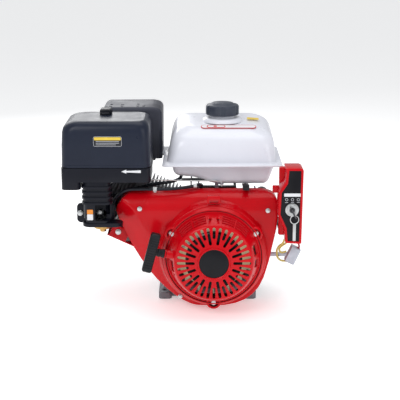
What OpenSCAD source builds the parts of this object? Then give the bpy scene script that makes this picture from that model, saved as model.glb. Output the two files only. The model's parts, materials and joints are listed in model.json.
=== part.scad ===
// Horizontal-shaft, air-cooled, single-cylinder overhead-valve gasoline engine with recoil and key start.
// The base's bolt pattern is centred on the origin, +Z is up, +Y runs out along the drive shaft,
// and the recoil starter faces -Y. Every size is in millimetres.

/* [Base and crank] */
// Distance between the left and right base holes
base_hole_x = 195.5; // [190:0.5:200]
// Distance between the front and rear base holes
base_hole_y = 103; // [98:0.5:108]
// Diameter of a base hole
base_hole_d = 11; // [9:0.5:12]
// Offset of the crank axis from the middle of the base
crank_x = 13; // [10:1:16]
// Height of the crank axis above the base
crank_z = 133; // [131:0.5:135]
// Stroke of the piston
stroke = 66; // [64:1:66]

/* [Drive end] */
// Diameter of the output shaft
shaft_d = 25.4; // [20:0.1:30]
// Length of the output shaft beyond its mounting face
shaft_len = 88.5; // [70:0.5:95]
// Pitch circle of the drive-end mounting holes
pto_pcd = 165.1; // [160:0.1:168]
// Tap-drill diameter of the drive-end mounting holes
pto_hole_d = 8.5; // [7:0.1:9]

/* [Cylinder] */
// Diameter of the bore
bore_d = 88; // [80:1:88]
// Tilt of the cylinder above the horizontal
cylinder_tilt = 25; // [24:0.5:26]

/* [Covers] */
// Radius of the recoil housing's outer flange
recoil_r = 112; // [110:1:114]
// Number of cooling slots in the recoil housing's face
slot_count = 36; // [24:2:40]
// Wall of the sheet and moulded covers
wall = 2.5; // [2:0.1:3]
// Radius of the fuel cap
cap_r = 38; // [34:1:40]

/* [Hidden] */
$fn = 48;
facet_fn = 24;      // round corners of hulled shells
eps = 0.01;
bore_y = 12;        // the cylinder's middle plane
pto_y = 95;         // the drive-end mounting face
case_y = [-56, 62]; // crankcase, from the flywheel wall to the joint with the side cover
throw = stroke / 2;
pin_r = 16;         // crankpin
rod_len = 125;
deck = 205;         // crank axis to the head's joint face
head_top = 268;
crown = deck - 1;
cam_at = [-56, 45.25];      // camshaft axis in the bore's frame
cam_xz = [crank_x + cam_at[0] * cos(90 - cylinder_tilt) - cam_at[1] * cos(cylinder_tilt),
          crank_z + cam_at[0] * sin(90 - cylinder_tilt) + cam_at[1] * sin(cylinder_tilt)];
gear_m = 2;
crank_teeth = 24;
cam_teeth = 48;
governor_teeth = 20;
balance_teeth = 36;
cam_dir = atan2(cam_xz[1] - crank_z, cam_xz[0] - crank_x);
balance_dir = -46;          // direction of the balancer from the crank axis
balance_xz = [crank_x + balance_teeth * gear_m * cos(balance_dir),
              crank_z + balance_teeth * gear_m * sin(balance_dir)];
governor_dir = -46;         // direction of the governor from the camshaft
governor_gap = (cam_teeth + governor_teeth) * gear_m / 2;
neck_len = 36;              // oil filler neck
back_r = 116;               // round wall behind the flywheel
case_bolt_xz = [[-104, 72], [-78, 42], [0, 15], [72, 16], [110, 56], [82, 130], [59, 183], [16, 201],
                [-28, 192], [-111, 107]];
governor_xz = [cam_xz[0] + governor_gap * cos(governor_dir), cam_xz[1] + governor_gap * sin(governor_dir)];
cam_phase = cam_dir + 180 + 180 / cam_teeth;
cam_error = cam_phase - governor_dir - 360 / cam_teeth * round((cam_phase - governor_dir) * cam_teeth / 360);
starter_xz = [crank_x + 106, crank_z + 40];
carb_xz = [-236, 218];      // carburettor throat
port_xz = [-222, 212];      // intake and exhaust ports
elbow_xy = [-242, -134];    // rising duct from the carburettor to the air cleaner
tank_flange_z = 318;
cap_xy = [34, 10];
recoil_front = -218;
recoil_back = -163;
cover_bolt_xz = [[-150, 236], [132, 232], [-62, 32]];
cleaner_lo = [-318, -165, 300];
cleaner_hi = [-124, -15, 432];
cleaner_seam = 331;
reel_y = [-202, -186];
rope_exit = [-86, -194, 147];
rope_tilt = 10;             // climb of the rope from its guide to the handle
throttle_xy = [-236, -92];  // throttle shaft of the carburettor
governor_xy = [20, -92];    // shaft of the governor's arm
arm_reach = 22;             // both arms, so that their rod only swings and never turns
arm_dir = -60;
lever_xy = [84, -90];       // hand throttle lever's pivot

// ---- helpers ----

// Draws a flat outline in X and Z, and gives it thickness from y0 to y1
module along_y(y0, y1) translate([0, y1, 0]) rotate([90, 0, 0]) linear_extrude(y1 - y0) children();

// Puts a cylinder along Y through the point xz
module rod_y(r, y0, y1, xz = [0, 0])
    translate([xz[0], y0, xz[1]]) rotate([-90, 0, 0]) cylinder(r = r, h = y1 - y0);

// Turns a profile of [radius, y] points about the Y axis through xz
module turned_y(points, xz = [crank_x, crank_z])
    translate([xz[0], 0, xz[1]]) rotate([-90, 0, 0]) rotate_extrude() polygon(points);

// A block given by its lowest and highest corners
module block(lo, hi) translate(lo) cube(hi - lo);

// Moves to the bore's frame, whose +Z runs from the crank axis up the cylinder
module in_bore() translate([crank_x, bore_y, crank_z]) rotate([0, cylinder_tilt - 90, 0]) children();

// A slab with round corners, from z0 to z1, given by its plan corners
module slab(lo, hi, z0, z1, r) translate([0, 0, z0]) linear_extrude(z1 - z0) rounded(lo, hi, r);

// A rectangle with round corners
module rounded(lo, hi, r) {
    translate(lo + [r, 0]) square([hi[0] - lo[0] - 2 * r, hi[1] - lo[1]]);
    translate(lo + [0, r]) square([hi[0] - lo[0], hi[1] - lo[1] - 2 * r]);
    for (x = [lo[0] + r, hi[0] - r], y = [lo[1] + r, hi[1] - r]) translate([x, y]) circle(r);
}

// A spur gear along Y, with a tooth centred at the angle phase
module gear_y(teeth, y0, y1, phase, hole = 0, m = gear_m) {
    pitch_r = teeth * m / 2;
    step = 360 / teeth;
    along_y(y0, y1) difference() {
        polygon([for (i = [0:teeth - 1], c = [[-0.34, -1.2], [-0.13, 0.8], [0.13, 0.8], [0.34, -1.2]])
            (pitch_r + c[1] * m) * [cos(phase + (i + c[0]) * step), sin(phase + (i + c[0]) * step)]]);
        if (hole > 0) circle(hole);
    }
}

// A hexagon-headed flange bolt that points along -Z, with its seat at the origin
module bolt(d, length) {
    translate([0, 0, -length]) cylinder(d = d, h = length + eps);
    cylinder(d = 2.1 * d, h = 0.25 * d);
    cylinder(d = 1.85 * d, h = 0.9 * d, $fn = 6);
}

// Points of a round tube swept along path
function unit(v) = v / norm(v);
function heading(path, i) = unit(path[min(i + 1, len(path) - 1)] - path[max(i - 1, 0)]);
function ring(at, along, r, sides, aside) = let (s = unit(cross(along, aside)), u = cross(along, s))
    [for (k = [0:sides - 1]) at + r * (cos(360 * k / sides) * s + sin(360 * k / sides) * u)];
function curve_point(a, b, c, d, t) = 0.5 * (2 * b + (c - a) * t + (2 * a - 5 * b + 4 * c - d) * t * t
    + (3 * b - a - 3 * c + d) * t * t * t);
function smooth(p, steps) = [for (i = [0:len(p) - 2], k = [0:steps - 1])
    curve_point(p[max(i - 1, 0)], p[i], p[i + 1], p[min(i + 2, len(p) - 1)], k / steps), p[len(p) - 1]];

// A flexible lead of radius r through the points of route
module tube(route, r, aside, steps = 4, sides = 8) {
    path = smooth(route, steps);
    n = len(path);
    polyhedron(points = [for (i = [0:n - 1]) each ring(path[i], heading(path, i), r, sides, aside)],
        faces = [[for (k = [0:sides - 1]) k],
            for (i = [0:n - 2], k = [0:sides - 1])
                [i * sides + k, (i + 1) * sides + k,
                    (i + 1) * sides + (k + 1) % sides, i * sides + (k + 1) % sides],
            [for (k = [sides - 1:-1:0]) (n - 1) * sides + k]]);
}

// ---- crankcase and drive end ----

// Outline of the crankcase's chambers, grown by the given amount
module case_outline(grow) {
    for (c = [[[crank_x, crank_z], 56], [cam_xz, 53], [balance_xz, 41], [governor_xz, 26]])
        translate(c[0]) circle(c[1] + grow);
    translate([cam_xz[0], 22 - grow]) square([balance_xz[0] - cam_xz[0], 60 + grow]);
    translate([-60 - grow, 22 - grow]) square([130 + 2 * grow, 24 + grow]);
}

module case_bolt_places() for (p = case_bolt_xz) translate([p[0], 0, p[1]]) rotate([-90, 0, 0]) children();

// Oil drain plugs, one in each end of the crankcase
module drain_places() for (s = [-1, 1]) translate([5 + 73 * s, 24, 26]) rotate([0, 90 * s, 0]) children();

module case_ears() for (p = case_bolt_xz) translate(p) circle(9);

module base_holes() for (x = [-1, 1] * base_hole_x / 2, y = [-1, 1] * base_hole_y / 2)
    translate([x, y, -1]) cylinder(d = base_hole_d, h = 30);

module crankcase() color("silver") difference() {
    union() {
        along_y(case_y[0], case_y[1]) case_outline(8);
        along_y(case_y[1] - 12, case_y[1]) { case_outline(8); case_ears(); }
        for (s = [-1, 1]) {
            translate([s * base_hole_x / 2, 0, 0]) linear_extrude(15)
                offset(9, $fn = 32) square([12, 126], center = true);
            for (y = [-46, 0, 46])
                block([min(s * 60, s * 86), y - 4, 1.5], [max(s * 60, s * 86), y + 4, 34]);
        }
        block([-96, -56, 1.5], [96, 62, 14]);
        in_bore() {
            translate([-65, -58, 50]) cube([119, 107.5, 58]);
            translate([0, 0, 82]) cylinder(r = 49, h = deck - 82);
            translate([-64, -18, 52]) cube([20, 36, deck - 52]);
            for (i = [0:10]) translate([-66, -60, 112 + i * 8.4]) cube([128, 120, 2.4]);
            translate([-66, -60, deck - 8]) cube([128, 120, 8]);
        }
        rod_y(26, case_y[0] - 6, case_y[0] + 8, [crank_x, crank_z]);
        rod_y(back_r, case_y[0] - 4, case_y[0] + eps, [crank_x, crank_z]);
        filler() cylinder(r = 13, h = neck_len);
    }
    rod_y(18.5, case_y[0] - 5, case_y[0] + 1, starter_xz);
    along_y(-34, case_y[1] + 1) case_outline(0);
    in_bore() {
        translate([0, 0, 20]) cylinder(r = bore_d / 2 + 3, h = deck);
        for (y = [-12, 12]) translate([cam_at[0], y, 40]) cylinder(r = 5, h = deck);
    }
    rod_y(23, -52, -30, [crank_x, crank_z]);
    rod_y(18, -80, -30, [crank_x, crank_z]);
    for (xz = [cam_xz, balance_xz]) rod_y(8.1, -44, -30, xz);
    base_holes();
    case_bolt_places() translate([0, 0, 30]) cylinder(d = 6, h = 40);
    drain_places() translate([0, 0, -10]) cylinder(d = 8, h = 14);
    filler() translate([0, 0, -36]) cylinder(r = 9, h = neck_len + 40);
}

// Moves to the oil filler's neck, whose +Z runs out of the crankcase
module filler() translate([-88, -26, 52]) rotate([0, -60, 0]) children();

module side_cover() color("silver") difference() {
    union() {
        along_y(case_y[1], case_y[1] + 8) { case_outline(8); case_ears(); }
        along_y(case_y[1], 84) case_outline(4);
        turned_y([[0, 80], [74, 80], [72, 86], [38, 90], [38, pto_y], [0, pto_y]]);
        for (a = [45:90:315]) rotate_crank(a) {
            translate([pto_pcd / 2, 0, 0]) rod_y(12, 66, pto_y);
            block([30, 64, -5], [pto_pcd / 2, 90, 5]);
        }
    }
    along_y(case_y[1] - 1, 78) case_outline(-4);
    rod_y(23, 60, 86, [crank_x, crank_z]);
    rod_y(18, 60, 100, [crank_x, crank_z]);
    for (a = [45:90:315]) rotate_crank(a) translate([pto_pcd / 2, 0, 0])
        rod_y(pto_hole_d / 2, pto_y - 20, pto_y + 1);
    case_bolt_places() {
        translate([0, 0, 50]) cylinder(d = 6.6, h = 60);
        translate([0, 0, case_y[1] + 8]) cylinder(d = 14, h = 40);
    }
}

module case_bolts() color("gainsboro") {
    case_bolt_places() translate([0, 0, case_y[1] + 8]) bolt(6, 22);
    drain_places() bolt(8, 10);
    in_bore() for (x = [-56, 52], y = [-50, 50]) translate([x, y, head_top - 14]) bolt(8, 40);
    in_bore() translate([0, 0, head_top + 35]) for (s = [-1, 1]) translate([0, s * 30, 0]) bolt(6, 6);
}

module bearings_and_seals() {
    color("lightsteelblue") for (y = [-52, 68])
        turned_y([[17.5, y], [23, y], [23, y + 15], [17.5, y + 15]]);
    color("dimgray") for (y = [-61, 86])
        turned_y([[shaft_d / 2 + 2.3, y], [18, y], [18, y + 7], [shaft_d / 2 + 2.3, y + 7]]);
}

module crankshaft() color("slategray") difference() {
    union() {
        translate([crank_x, 0, crank_z]) {
            rod_y(17.4, -54, -16);
            rod_y(17.4, 40, 84);
            rod_y(15, -76, -53);
            rod_y(15, 83, pto_y);
            rod_y(shaft_d / 2, pto_y - eps, pto_y + shaft_len);
            for (y = [[-16, 0], [24, 40]]) rod_y(51, y[0], y[1]);
        }
        rotate_pin() rod_y(pin_r, -1, 25);
        turned_y([[0, -112], [11, -112], [15, -76], [0, -76]]);
        rod_y(7, -146, -110, [crank_x, crank_z]);
        translate([crank_x, 0, crank_z]) {
            gear_y(crank_teeth, 45, 56, cam_dir);
            gear_y(balance_teeth, -32, -22, balance_dir);
        }
    }
    block([crank_x - 3.2, pto_y + 28, crank_z + shaft_d / 2 - 4],
        [crank_x + 3.2, pto_y + shaft_len + 1, crank_z + 20]);
    rod_y(4.25, pto_y + shaft_len - 25, pto_y + shaft_len + 1, [crank_x, crank_z]);
}

// Moves to the crankpin, with the piston at the top of its stroke
module rotate_pin() translate([crank_x - throw * cos(cylinder_tilt), 0, crank_z + throw * sin(cylinder_tilt)])
    children();

module rod_big_end() color("lightgray") rotate_pin() difference() {
    rod_y(22, 1, 23);
    rod_y(pin_r + 0.05, 0, 24);
}

module connecting_rod() color("lightgray") in_bore() difference() {
    union() {
        translate([-9, -6, throw + 22.5]) cube([18, 12, rod_len - 31]);
        translate([0, 11, throw + rod_len]) rotate([90, 0, 0]) cylinder(r = 15, h = 22);
    }
    translate([0, 20, throw + rod_len]) rotate([90, 0, 0]) cylinder(r = 10.02, h = 40);
}

module piston() color("gainsboro") in_bore() difference() {
    translate([0, 0, crown - 62]) cylinder(r = bore_d / 2 - 0.1, h = 62);
    translate([0, 0, crown - 63]) cylinder(r = bore_d / 2 - 6, h = 56);
    for (z = [6, 11, 17]) translate([0, 0, crown - z - 1.6]) difference() {
        cylinder(r = bore_d, h = 1.6);
        translate([0, 0, -1]) cylinder(r = bore_d / 2 - 4, h = 4);
    }
    translate([0, 60, throw + rod_len]) rotate([90, 0, 0]) cylinder(r = 10, h = 120);
}

module piston_pin_and_rings() color("darkgray") in_bore() {
    for (z = [6, 11, 17]) translate([0, 0, crown - z - 1.5]) difference() {
        cylinder(r = bore_d / 2 - 0.02, h = 1.4);
        translate([0, 0, -1]) cylinder(r = bore_d / 2 - 3.9, h = 4);
        translate([0, -1, -1]) cube([bore_d, 2, 4]);
    }
    translate([0, 38, throw + rod_len]) rotate([90, 0, 0]) difference() {
        cylinder(r = 9.98, h = 76);
        translate([0, 0, -1]) cylinder(r = 6, h = 80);
    }
}

module cylinder_sleeve() color("gray") in_bore() translate([0, 0, 100]) difference() {
    cylinder(r = bore_d / 2 + 3, h = deck - 100);
    translate([0, 0, -1]) cylinder(r = bore_d / 2, h = deck);
}

module camshaft() color("darkgray") translate([cam_xz[0], 0, cam_xz[1]]) {
    rod_y(8, -43.5, 62);
    gear_y(cam_teeth, 46, 55, cam_phase);
    for (c = [[-6, 150], [18, 20]]) rotate([0, c[1], 0]) {
        rod_y(12, c[0], c[0] + 12);
        translate([6, 0, 0]) rod_y(10, c[0], c[0] + 12);
    }
}

module balancer_shaft() color("gray") translate([balance_xz[0], 0, balance_xz[1]]) {
    rod_y(8, -43.5, 60);
    gear_y(balance_teeth, -31, -23, balance_dir + 180 + 180 / balance_teeth);
    difference() {
        rod_y(18, -18, 40);
        block([-30, -20, -30], [0, 42, 30]);
    }
}

module governor_gear() color("wheat") translate([governor_xz[0], 0, governor_xz[1]]) {
    gear_y(governor_teeth, 47, 54,
        governor_dir + 180 + 180 / governor_teeth - cam_error * cam_teeth / governor_teeth);
    rod_y(5, 30, 74);
    for (s = [-1, 1]) block([min(s * 5, s * 17), 55, -4], [max(s * 5, s * 17), 62, 4]);
}

// ---- head and valve gear ----

module cylinder_head() color("silver") difference() {
    union() {
        in_bore() {
            translate([-66, -60, deck]) cube([128, 120, 12]);
            translate([-64, -50, deck + 10]) cube([116, 100, head_top - deck - 10]);
            for (i = [0:4]) translate([-66, -60, deck + 19 + i * 8]) cube([128, 120, 2.6]);
            translate([-69, -54, head_top - 8]) cube([127, 108, 8]);
        }
        rod_y(18, -50, -30, port_xz);
        rod_y(18, 60, 76, port_xz);
        plug_seat() cylinder(r = 12, h = 14);
    }
    in_bore() {
        translate([0, 0, deck - 1]) cylinder(r = 38, h = 9);
        for (y = [-12, 12]) translate([cam_at[0], y, deck - 1]) cylinder(r = 5, h = 80);
        for (y = [-18, 20]) translate([6, y, deck]) cylinder(r = 4.1, h = 80);
        for (x = [-56, 52], y = [-50, 50]) translate([x, y, deck - 1]) {
            cylinder(d = 8.4, h = 80);
            translate([0, 0, head_top - 14 - deck + 1]) cylinder(d = 19, h = 30);
        }
    }
    plug_seat() {
        translate([0, 0, -8]) cylinder(r = 7.1, h = 60);
        translate([0, 0, 14]) cylinder(r = 13.5, h = 40);
    }
    rod_y(13, -60, -25, port_xz);
    rod_y(13, 55, 80, port_xz);
}

module valve_set() color("lightsteelblue") in_bore() for (y = [-18, 20]) translate([6, y, 0]) {
    translate([0, 0, deck + 1]) cylinder(r = 16, h = 2.5);
    translate([0, 0, deck + 2]) cylinder(r = 3.2, h = 79.9);
    translate([0, 0, head_top]) difference() {
        cylinder(r = 12, h = 13);
        translate([0, 0, -1]) cylinder(r = 9, h = 12);
        for (z = [2.5:4:11]) translate([0, 0, z]) difference() {
            cylinder(r = 20, h = 1.6);
            translate([0, 0, -1]) cylinder(r = 10.2, h = 4);
        }
    }
}

module valve_gear() color("darkgray") in_bore() for (y = [-12, 12]) {
    translate([cam_at[0], y, cam_at[1] + 18]) cylinder(r = 4.8, h = 24);
    translate([cam_at[0], y, cam_at[1] + 42.1]) cylinder(r = 3, h = 286 - cam_at[1] - 42.2);
    translate([cam_at[0], y, 286]) cylinder(r = 5, h = 3);
    y1 = y < 0 ? -18 : 20;
    translate([cam_at[0] + 5.1, min(y, y1) - 3, 287]) cube([56, 6 + abs(y - y1), 5]);
}

module head_cover() color("silver") in_bore() difference() {
    union() {
        translate([0, 0, head_top]) linear_extrude(3) rounded([-69, -54], [58, 54], 12);
        translate([0, 0, head_top]) linear_extrude(32) rounded([-67, -49], [53, 49], 16);
        translate([0, 0, head_top + 31]) linear_extrude(4) rounded([-60, -42], [46, 42], 12);
    }
    translate([0, 0, head_top - 1]) linear_extrude(31) rounded([-64, -46], [50, 46], 14);
    for (y = [-30, 30]) translate([0, y, head_top + 20]) cylinder(d = 6.2, h = 30);
}

// Moves to the spark plug's seat, whose +Z runs out of the head
module plug_seat() translate([-206, -30, 187]) rotate([90, 0, 12]) children();

module spark_plug() color("white") plug_seat() {
    translate([0, 0, -6]) cylinder(r = 7, h = 22);
    translate([0, 0, 14]) cylinder(r = 11.5, h = 9, $fn = 6);
    translate([0, 0, 22]) cylinder(r = 5.5, h = 12);
}

// Moves to the ignition coil, with +Y away from the flywheel
module coil_place() translate([-68, 216]) rotate(44) children();

module ignition_coil() color("dimgray") {
    along_y(-102, -80) coil_place() rounded([-26, -12], [26, 14], 3);
    for (s = [-1, 1]) along_y(-98, -84) coil_place() translate([s * 15 - 5, -20]) square([10, 9]);
}

module ignition_lead() color("#22262e") {
    tube([[-56, -91, 243], [-44, -91, 250], [-28, -92, 260], [-15, -93, 273], [-16, -105, 281],
        [-36, -122, 281], [-76, -132, 278], [-116, -136, 278], [-150, -136, 278], [-178, -132, 275],
        [-194, -126, 265], [-204, -116, 252], [-208, -106, 240], [-206, -96, 224], [-197, -90, 207],
        [-195, -86, 196]], 3.5, [0, 0.3, 1], 3);
    difference() {
        plug_seat() translate([0, 0, 26]) cylinder(r = 9, h = 36);
        plug_seat() translate([0, 0, 25]) cylinder(r = 5.6, h = 10);
    }
}

// ---- fuel and air ----

module intake_spacer() color("#3a3a3c") difference() {
    along_y(-62, -50) {
        translate(port_xz) circle(21);
        translate(carb_xz) circle(22);
        translate([-250, 200]) square([42, 30]);
    }
    rod_y(13, -56, -49, port_xz);
    rod_y(13, -63, -55, carb_xz);
}

module carburetor() color("silver") difference() {
    union() {
        along_y(-68, -62) translate(carb_xz) rounded([-24, -24], [24, 24], 8);
        along_y(-118, -112) translate(carb_xz) rounded([-24, -22], [24, 22], 8);
        rod_y(19, -118, -62, carb_xz);
        translate([carb_xz[0], -90, 196]) cylinder(r = 21, h = 14);
        translate([throttle_xy[0], throttle_xy[1], 230]) cylinder(r = 7, h = 24);
        translate([-226, -106, 232]) cylinder(r = 5, h = 10);
        translate([-256, -84, 214]) rotate([0, -90, 0]) cylinder(r = 6, h = 8);
    }
    rod_y(13, -120, -60, carb_xz);
    translate([throttle_xy[0], throttle_xy[1], 200]) cylinder(r = 3.1, h = 60);
}

module float_bowl() color("#b89a55") translate([carb_xz[0], -90, 0]) difference() {
    union() {
        translate([0, 0, 178]) cylinder(r = 20, h = 18);
        translate([0, 0, 169]) cylinder(r = 7, h = 12);
    }
    translate([0, 0, 180.5]) cylinder(r = 18, h = 20);
}

module carb_throttle_arm() color("gold") {
    translate([throttle_xy[0], throttle_xy[1], 207]) cylinder(r = 3, h = 55);
    linkage_arm(throttle_xy, 255, 6);
}

// A flat arm with a rod hole, whose pivot is at xy and whose underside is at z
module linkage_arm(xy, z, boss_r) translate([xy[0], xy[1], z]) rotate([0, 0, arm_dir]) difference() {
    union() {
        cylinder(r = boss_r, h = 3);
        translate([0, -4.5, 0]) cube([arm_reach, 9, 2]);
        translate([arm_reach, 0, 0]) cylinder(r = 4.5, h = 2);
    }
    translate([arm_reach, 0, -1]) cylinder(r = 1.7, h = 5);
}

module governor_arm() color("gainsboro") {
    translate([governor_xy[0], governor_xy[1], 255]) cylinder(r = 4, h = 30);
    linkage_arm(governor_xy, 283, 7);
}

// Where a rod hole lies, from its arm's pivot
rod_hole = arm_reach * [cos(arm_dir), sin(arm_dir)];

module governor_rod() color("gainsboro") {
    a = throttle_xy + rod_hole;
    b = governor_xy + rod_hole;
    tube([[a[0], a[1], 250], [a[0], a[1], 262], [a[0], a[1], 274], [a[0] + 14, a[1], 288],
          [a[0] + 44, a[1], 292], [b[0] - 60, b[1], 291], [b[0] - 12, b[1], 290], [b[0] - 1, b[1], 288],
          [b[0], b[1], 284], [b[0], b[1], 279]], 1.5, [0, 1, 0.02], 4);
}

module choke_lever() color("dimgray") translate([-248, -112, 0]) {
    translate([0, 0, 240.1]) cylinder(r = 2.5, h = 9);
    translate([0, 0, 247]) linear_extrude(2.5) polygon([[-4, 5], [5, 5], [5, -4], [-26, -2], [-26, 5]]);
}

module fuel_valve_lever() color("#242426") translate([-264, -84, 214]) {
    rotate([0, -90, 0]) cylinder(r = 6, h = 6);
    block([-12, -4, -28], [-6, 4, 4]);
}

module intake_elbow() color("#262628") difference() {
    union() {
        along_y(-124, -118) {
            translate([-290, 199]) rounded([0, 0], [83, 44], 9);
            translate(carb_xz) circle(24);
        }
        rod_y(24, -140, -120, carb_xz);
        slab([-272, -164], [-212, -126], 218, 300, 15);
        for (z = [250:12:292]) slab([-275, -166.5], [-209, -123.5], z, z + 5, 16);
        slab([-268, -160], [-216, -126], 205, 219, 12);
    }
    slab([-269, -161], [-215, -129], 222, 301, 12);
    rod_y(13, -145, -110, carb_xz);
    rod_y(3.2, -130, -110, [-283, 221]);
}

module air_cleaner_base() color("#2b2b2d") difference() {
    union() {
        slab([cleaner_lo[0], cleaner_lo[1]], [cleaner_hi[0], cleaner_hi[1]], 316, cleaner_seam, 12);
        slab([cleaner_lo[0], cleaner_lo[1]], [cleaner_hi[0], -52], cleaner_lo[2], 318, 12);
        slab([cleaner_lo[0], cleaner_lo[1]], [-277, -60], 283, 302, 12);
    }
    slab([-314, -161], [-128, -19], 319.5, 340, 9);
    slab([-314, -161], [-128, -56], 304, 340, 9);
    slab([-269, -161], [-215, -129], 290, 310, 12);
}

module air_filter() color("#c9b98f") difference() {
    slab([-300, -150], [-142, -64], 304.5, 410, 20);
    slab([-284, -134], [-158, -80], 300, 400, 12);
    for (x = [-296:8:-146]) translate([x, -152, 318]) cube([3, 5, 80]);
}

module air_cleaner_cover() color("#2b2b2d") {
    difference() {
        hull() {
            for (x = [cleaner_lo[0] + 12, cleaner_hi[0] - 12], y = [cleaner_lo[1] + 12, cleaner_hi[1] - 12])
                translate([x, y, cleaner_seam + 0.3]) cylinder(r = 12, h = 60, $fn = facet_fn);
            for (x = [cleaner_lo[0] + 30, cleaner_hi[0] - 14])
                translate([x, 0, 0]) {
                    translate([0, cleaner_lo[1] + 14, cleaner_hi[2] - 12]) sphere(r = 12, $fn = facet_fn);
                    translate([0, cleaner_hi[1] - 14, cleaner_hi[2] - 4]) sphere(r = 12, $fn = facet_fn);
                }
        }
        hull() {
            for (x = [cleaner_lo[0] + 15, cleaner_hi[0] - 15], y = [cleaner_lo[1] + 15, cleaner_hi[1] - 15])
                translate([x, y, cleaner_seam - 2]) cylinder(r = 11, h = 60, $fn = facet_fn);
            for (x = [cleaner_lo[0] + 32, cleaner_hi[0] - 16], y = [cleaner_lo[1] + 16, cleaner_hi[1] - 16])
                translate([x, y, cleaner_hi[2] - 17]) sphere(r = 12, $fn = facet_fn);
        }
    }
    block([-240, -166, 418], [-214, -162, 434]);
    block([-240, -150, 433], [-214, -100, 443]);
}

// ---- exhaust ----

module muffler() color("#6d6a66") {
    difference() {
        union() {
            slab([-238, 12], [-116, 104], 332, 416, 20);
            translate([port_xz[0], 92, port_xz[1]]) cylinder(r = 14, h = 125);
            rod_y(14, 79, 92, port_xz);
            translate([port_xz[0], 92, port_xz[1]]) sphere(r = 14);
            along_y(76, 80) translate(port_xz) rounded([-26, -18], [26, 18], 8);
            translate([-130, 104, 392]) rotate([-90, 0, 0]) cylinder(r = 11, h = 14);
        }
        slab([-236, 14], [-118, 102], 334, 414, 18);
        translate([port_xz[0], 92, port_xz[1]]) cylinder(r = 12, h = 140);
        rod_y(12, 70, 92, port_xz);
        translate([-130, 95, 392]) rotate([-90, 0, 0]) cylinder(r = 9, h = 30);
    }
}

module cover_outline(grow) polygon([[-256 - grow, 317], [-256 - grow, 408 + grow], [-232, 436 + grow],
    [-200, 439 + grow], [-118, 437 + grow], [-104 + grow, 424], [-104 + grow, 317]]);

module muffler_cover() color("#4c4d50") difference() {
    union() {
        along_y(-5, 118) cover_outline(0);
        for (x = [-230, -130]) block([x - 8, -5, 311], [x + 8, -3.2, 320]);
    }
    along_y(-3.2, 116.2) translate([0, -3]) cover_outline(-1.8);
    for (i = [0:5], j = [0:1]) translate([-226 + i * 20, 14 + j * 12, 400]) cylinder(r = 3, h = 50);
    for (z = [340:12:410], s = [0, 1]) block([-232 + s * 58, 110, z], [-186 + s * 58, 125, z + 5]);
    for (i = [0:5]) block([-240 + i * 22, -10, 345], [-230 + i * 22, 0, 405]);
    rod_y(13, 100, 125, [-130, 392]);
}

// ---- fuel tank ----

module tank_corner(x, y, z, r) translate([x, y, z]) sphere(r = r, $fn = facet_fn);

// The upper shell, shrunk by inset
module tank_top(inset) {
    r = 14 - inset;
    hull() {
        for (x = [-84, 148], y = [-78, 98]) translate([x, y, 318])
            cylinder(r = r, h = 18 - inset, $fn = facet_fn);
        for (x = [-58, 108]) {
            tank_corner(x, -66, 374, r);
            tank_corner(x, -44, 388, r);
            tank_corner(x, 84, 397, r);
        }
    }
}

module tank_bottom(inset) along_y(-80 + inset, 98 - inset) polygon([[-90 + inset, 320],
    [-90 + inset, 304 + inset], [-40 + inset, 298 + inset], [-28 + inset, 277 + inset],
    [136 - inset, 277 + inset], [144 - inset, 320]]);

module fuel_tank() color("ivory") difference() {
    union() {
        tank_top(0);
        tank_bottom(0);
        translate([0, 0, tank_flange_z]) linear_extrude(4.5) polygon([[-112, -88], [-105, -95], [159, -95],
            [166, -88], [166, 108], [159, 115], [-94, 115], [-101, 108], [-101, -10], [-112, -22]]);
        translate([cap_xy[0], cap_xy[1], 398]) cylinder(r = 30, h = 20);
    }
    tank_top(2.6);
    tank_bottom(2.6);
    translate([cap_xy[0], cap_xy[1], 380]) cylinder(r = 25, h = 50);
}

module fuel_cap() color("#3b3c3f") translate([cap_xy[0], cap_xy[1], 0]) difference() {
    union() {
        translate([0, 0, 419]) cylinder(r = cap_r, h = 22);
        translate([0, 0, 440]) cylinder(r = cap_r - 6, h = 6);
        translate([0, 0, 408]) cylinder(r = 24, h = 12);
    }
    for (a = [0:60:300]) rotate(a + 30) translate([cap_r + 8, 0, 422]) cylinder(r = 13, h = 30);
    translate([0, 0, 406]) cylinder(r = 21, h = 30);
}

module tank_bracket() color("#8b8f93") for (y = [-43, 30]) {
    block([-60, y, 274], [-36, y + 18, 277]);
    block([-39, y, 259], [-36, y + 18, 275]);
    block([-39, y, 257], [66, y + 18, 260]);
    block([62, y, 260], [65, y + 18, 276.8]);
    block([62, y, 176], [65, y + 18, 258]);
    block([-22, y, 211], [-19, y + 18, 258]);
}

module fuel_hose() color("#1d1d1f") tube([[-60, -60, 296], [-60, -66, 290], [-72, -78, 284],
    [-120, -80, 276], [-170, -76, 262], [-206, -70, 248], [-222, -76, 246], [-226, -96, 246],
    [-226, -106, 243]], 3.6, [0, 0.3, 1], 4);

// ---- cooling air and starter ----

cover_edge = [[-205, 224], [-196, 196], [-186, 174], [-170, 140], [-152, 108], [-134, 82], [-114, 59],
    [-94, 41], [-74, 27], [-56, 18], [-40, 12], [-14, 10], [38, 10], [62, 15], [84, 24], [100, 37],
    [114, 54], [124, 75], [131, 98], [137, 120], [141, 142], [147, 165], [152, 190], [155, 218],
    [155, 244], [152, 256], [144, 265], [134, 270], [122, 272], [-60, 272], [-160, 272], [-173, 270],
    [-188, 256], [-200, 238]];

// Moves every corner of a closed outline inwards by d
function inset(p, d) = [for (i = [0:len(p) - 1]) let (n = len(p), a = unit(p[i] - p[(i + n - 1) % n]),
    b = unit(p[(i + 1) % n] - p[i])) p[i] + d * [-a[1] - b[1], a[0] + b[0]] / (1 + a * b)];

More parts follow.
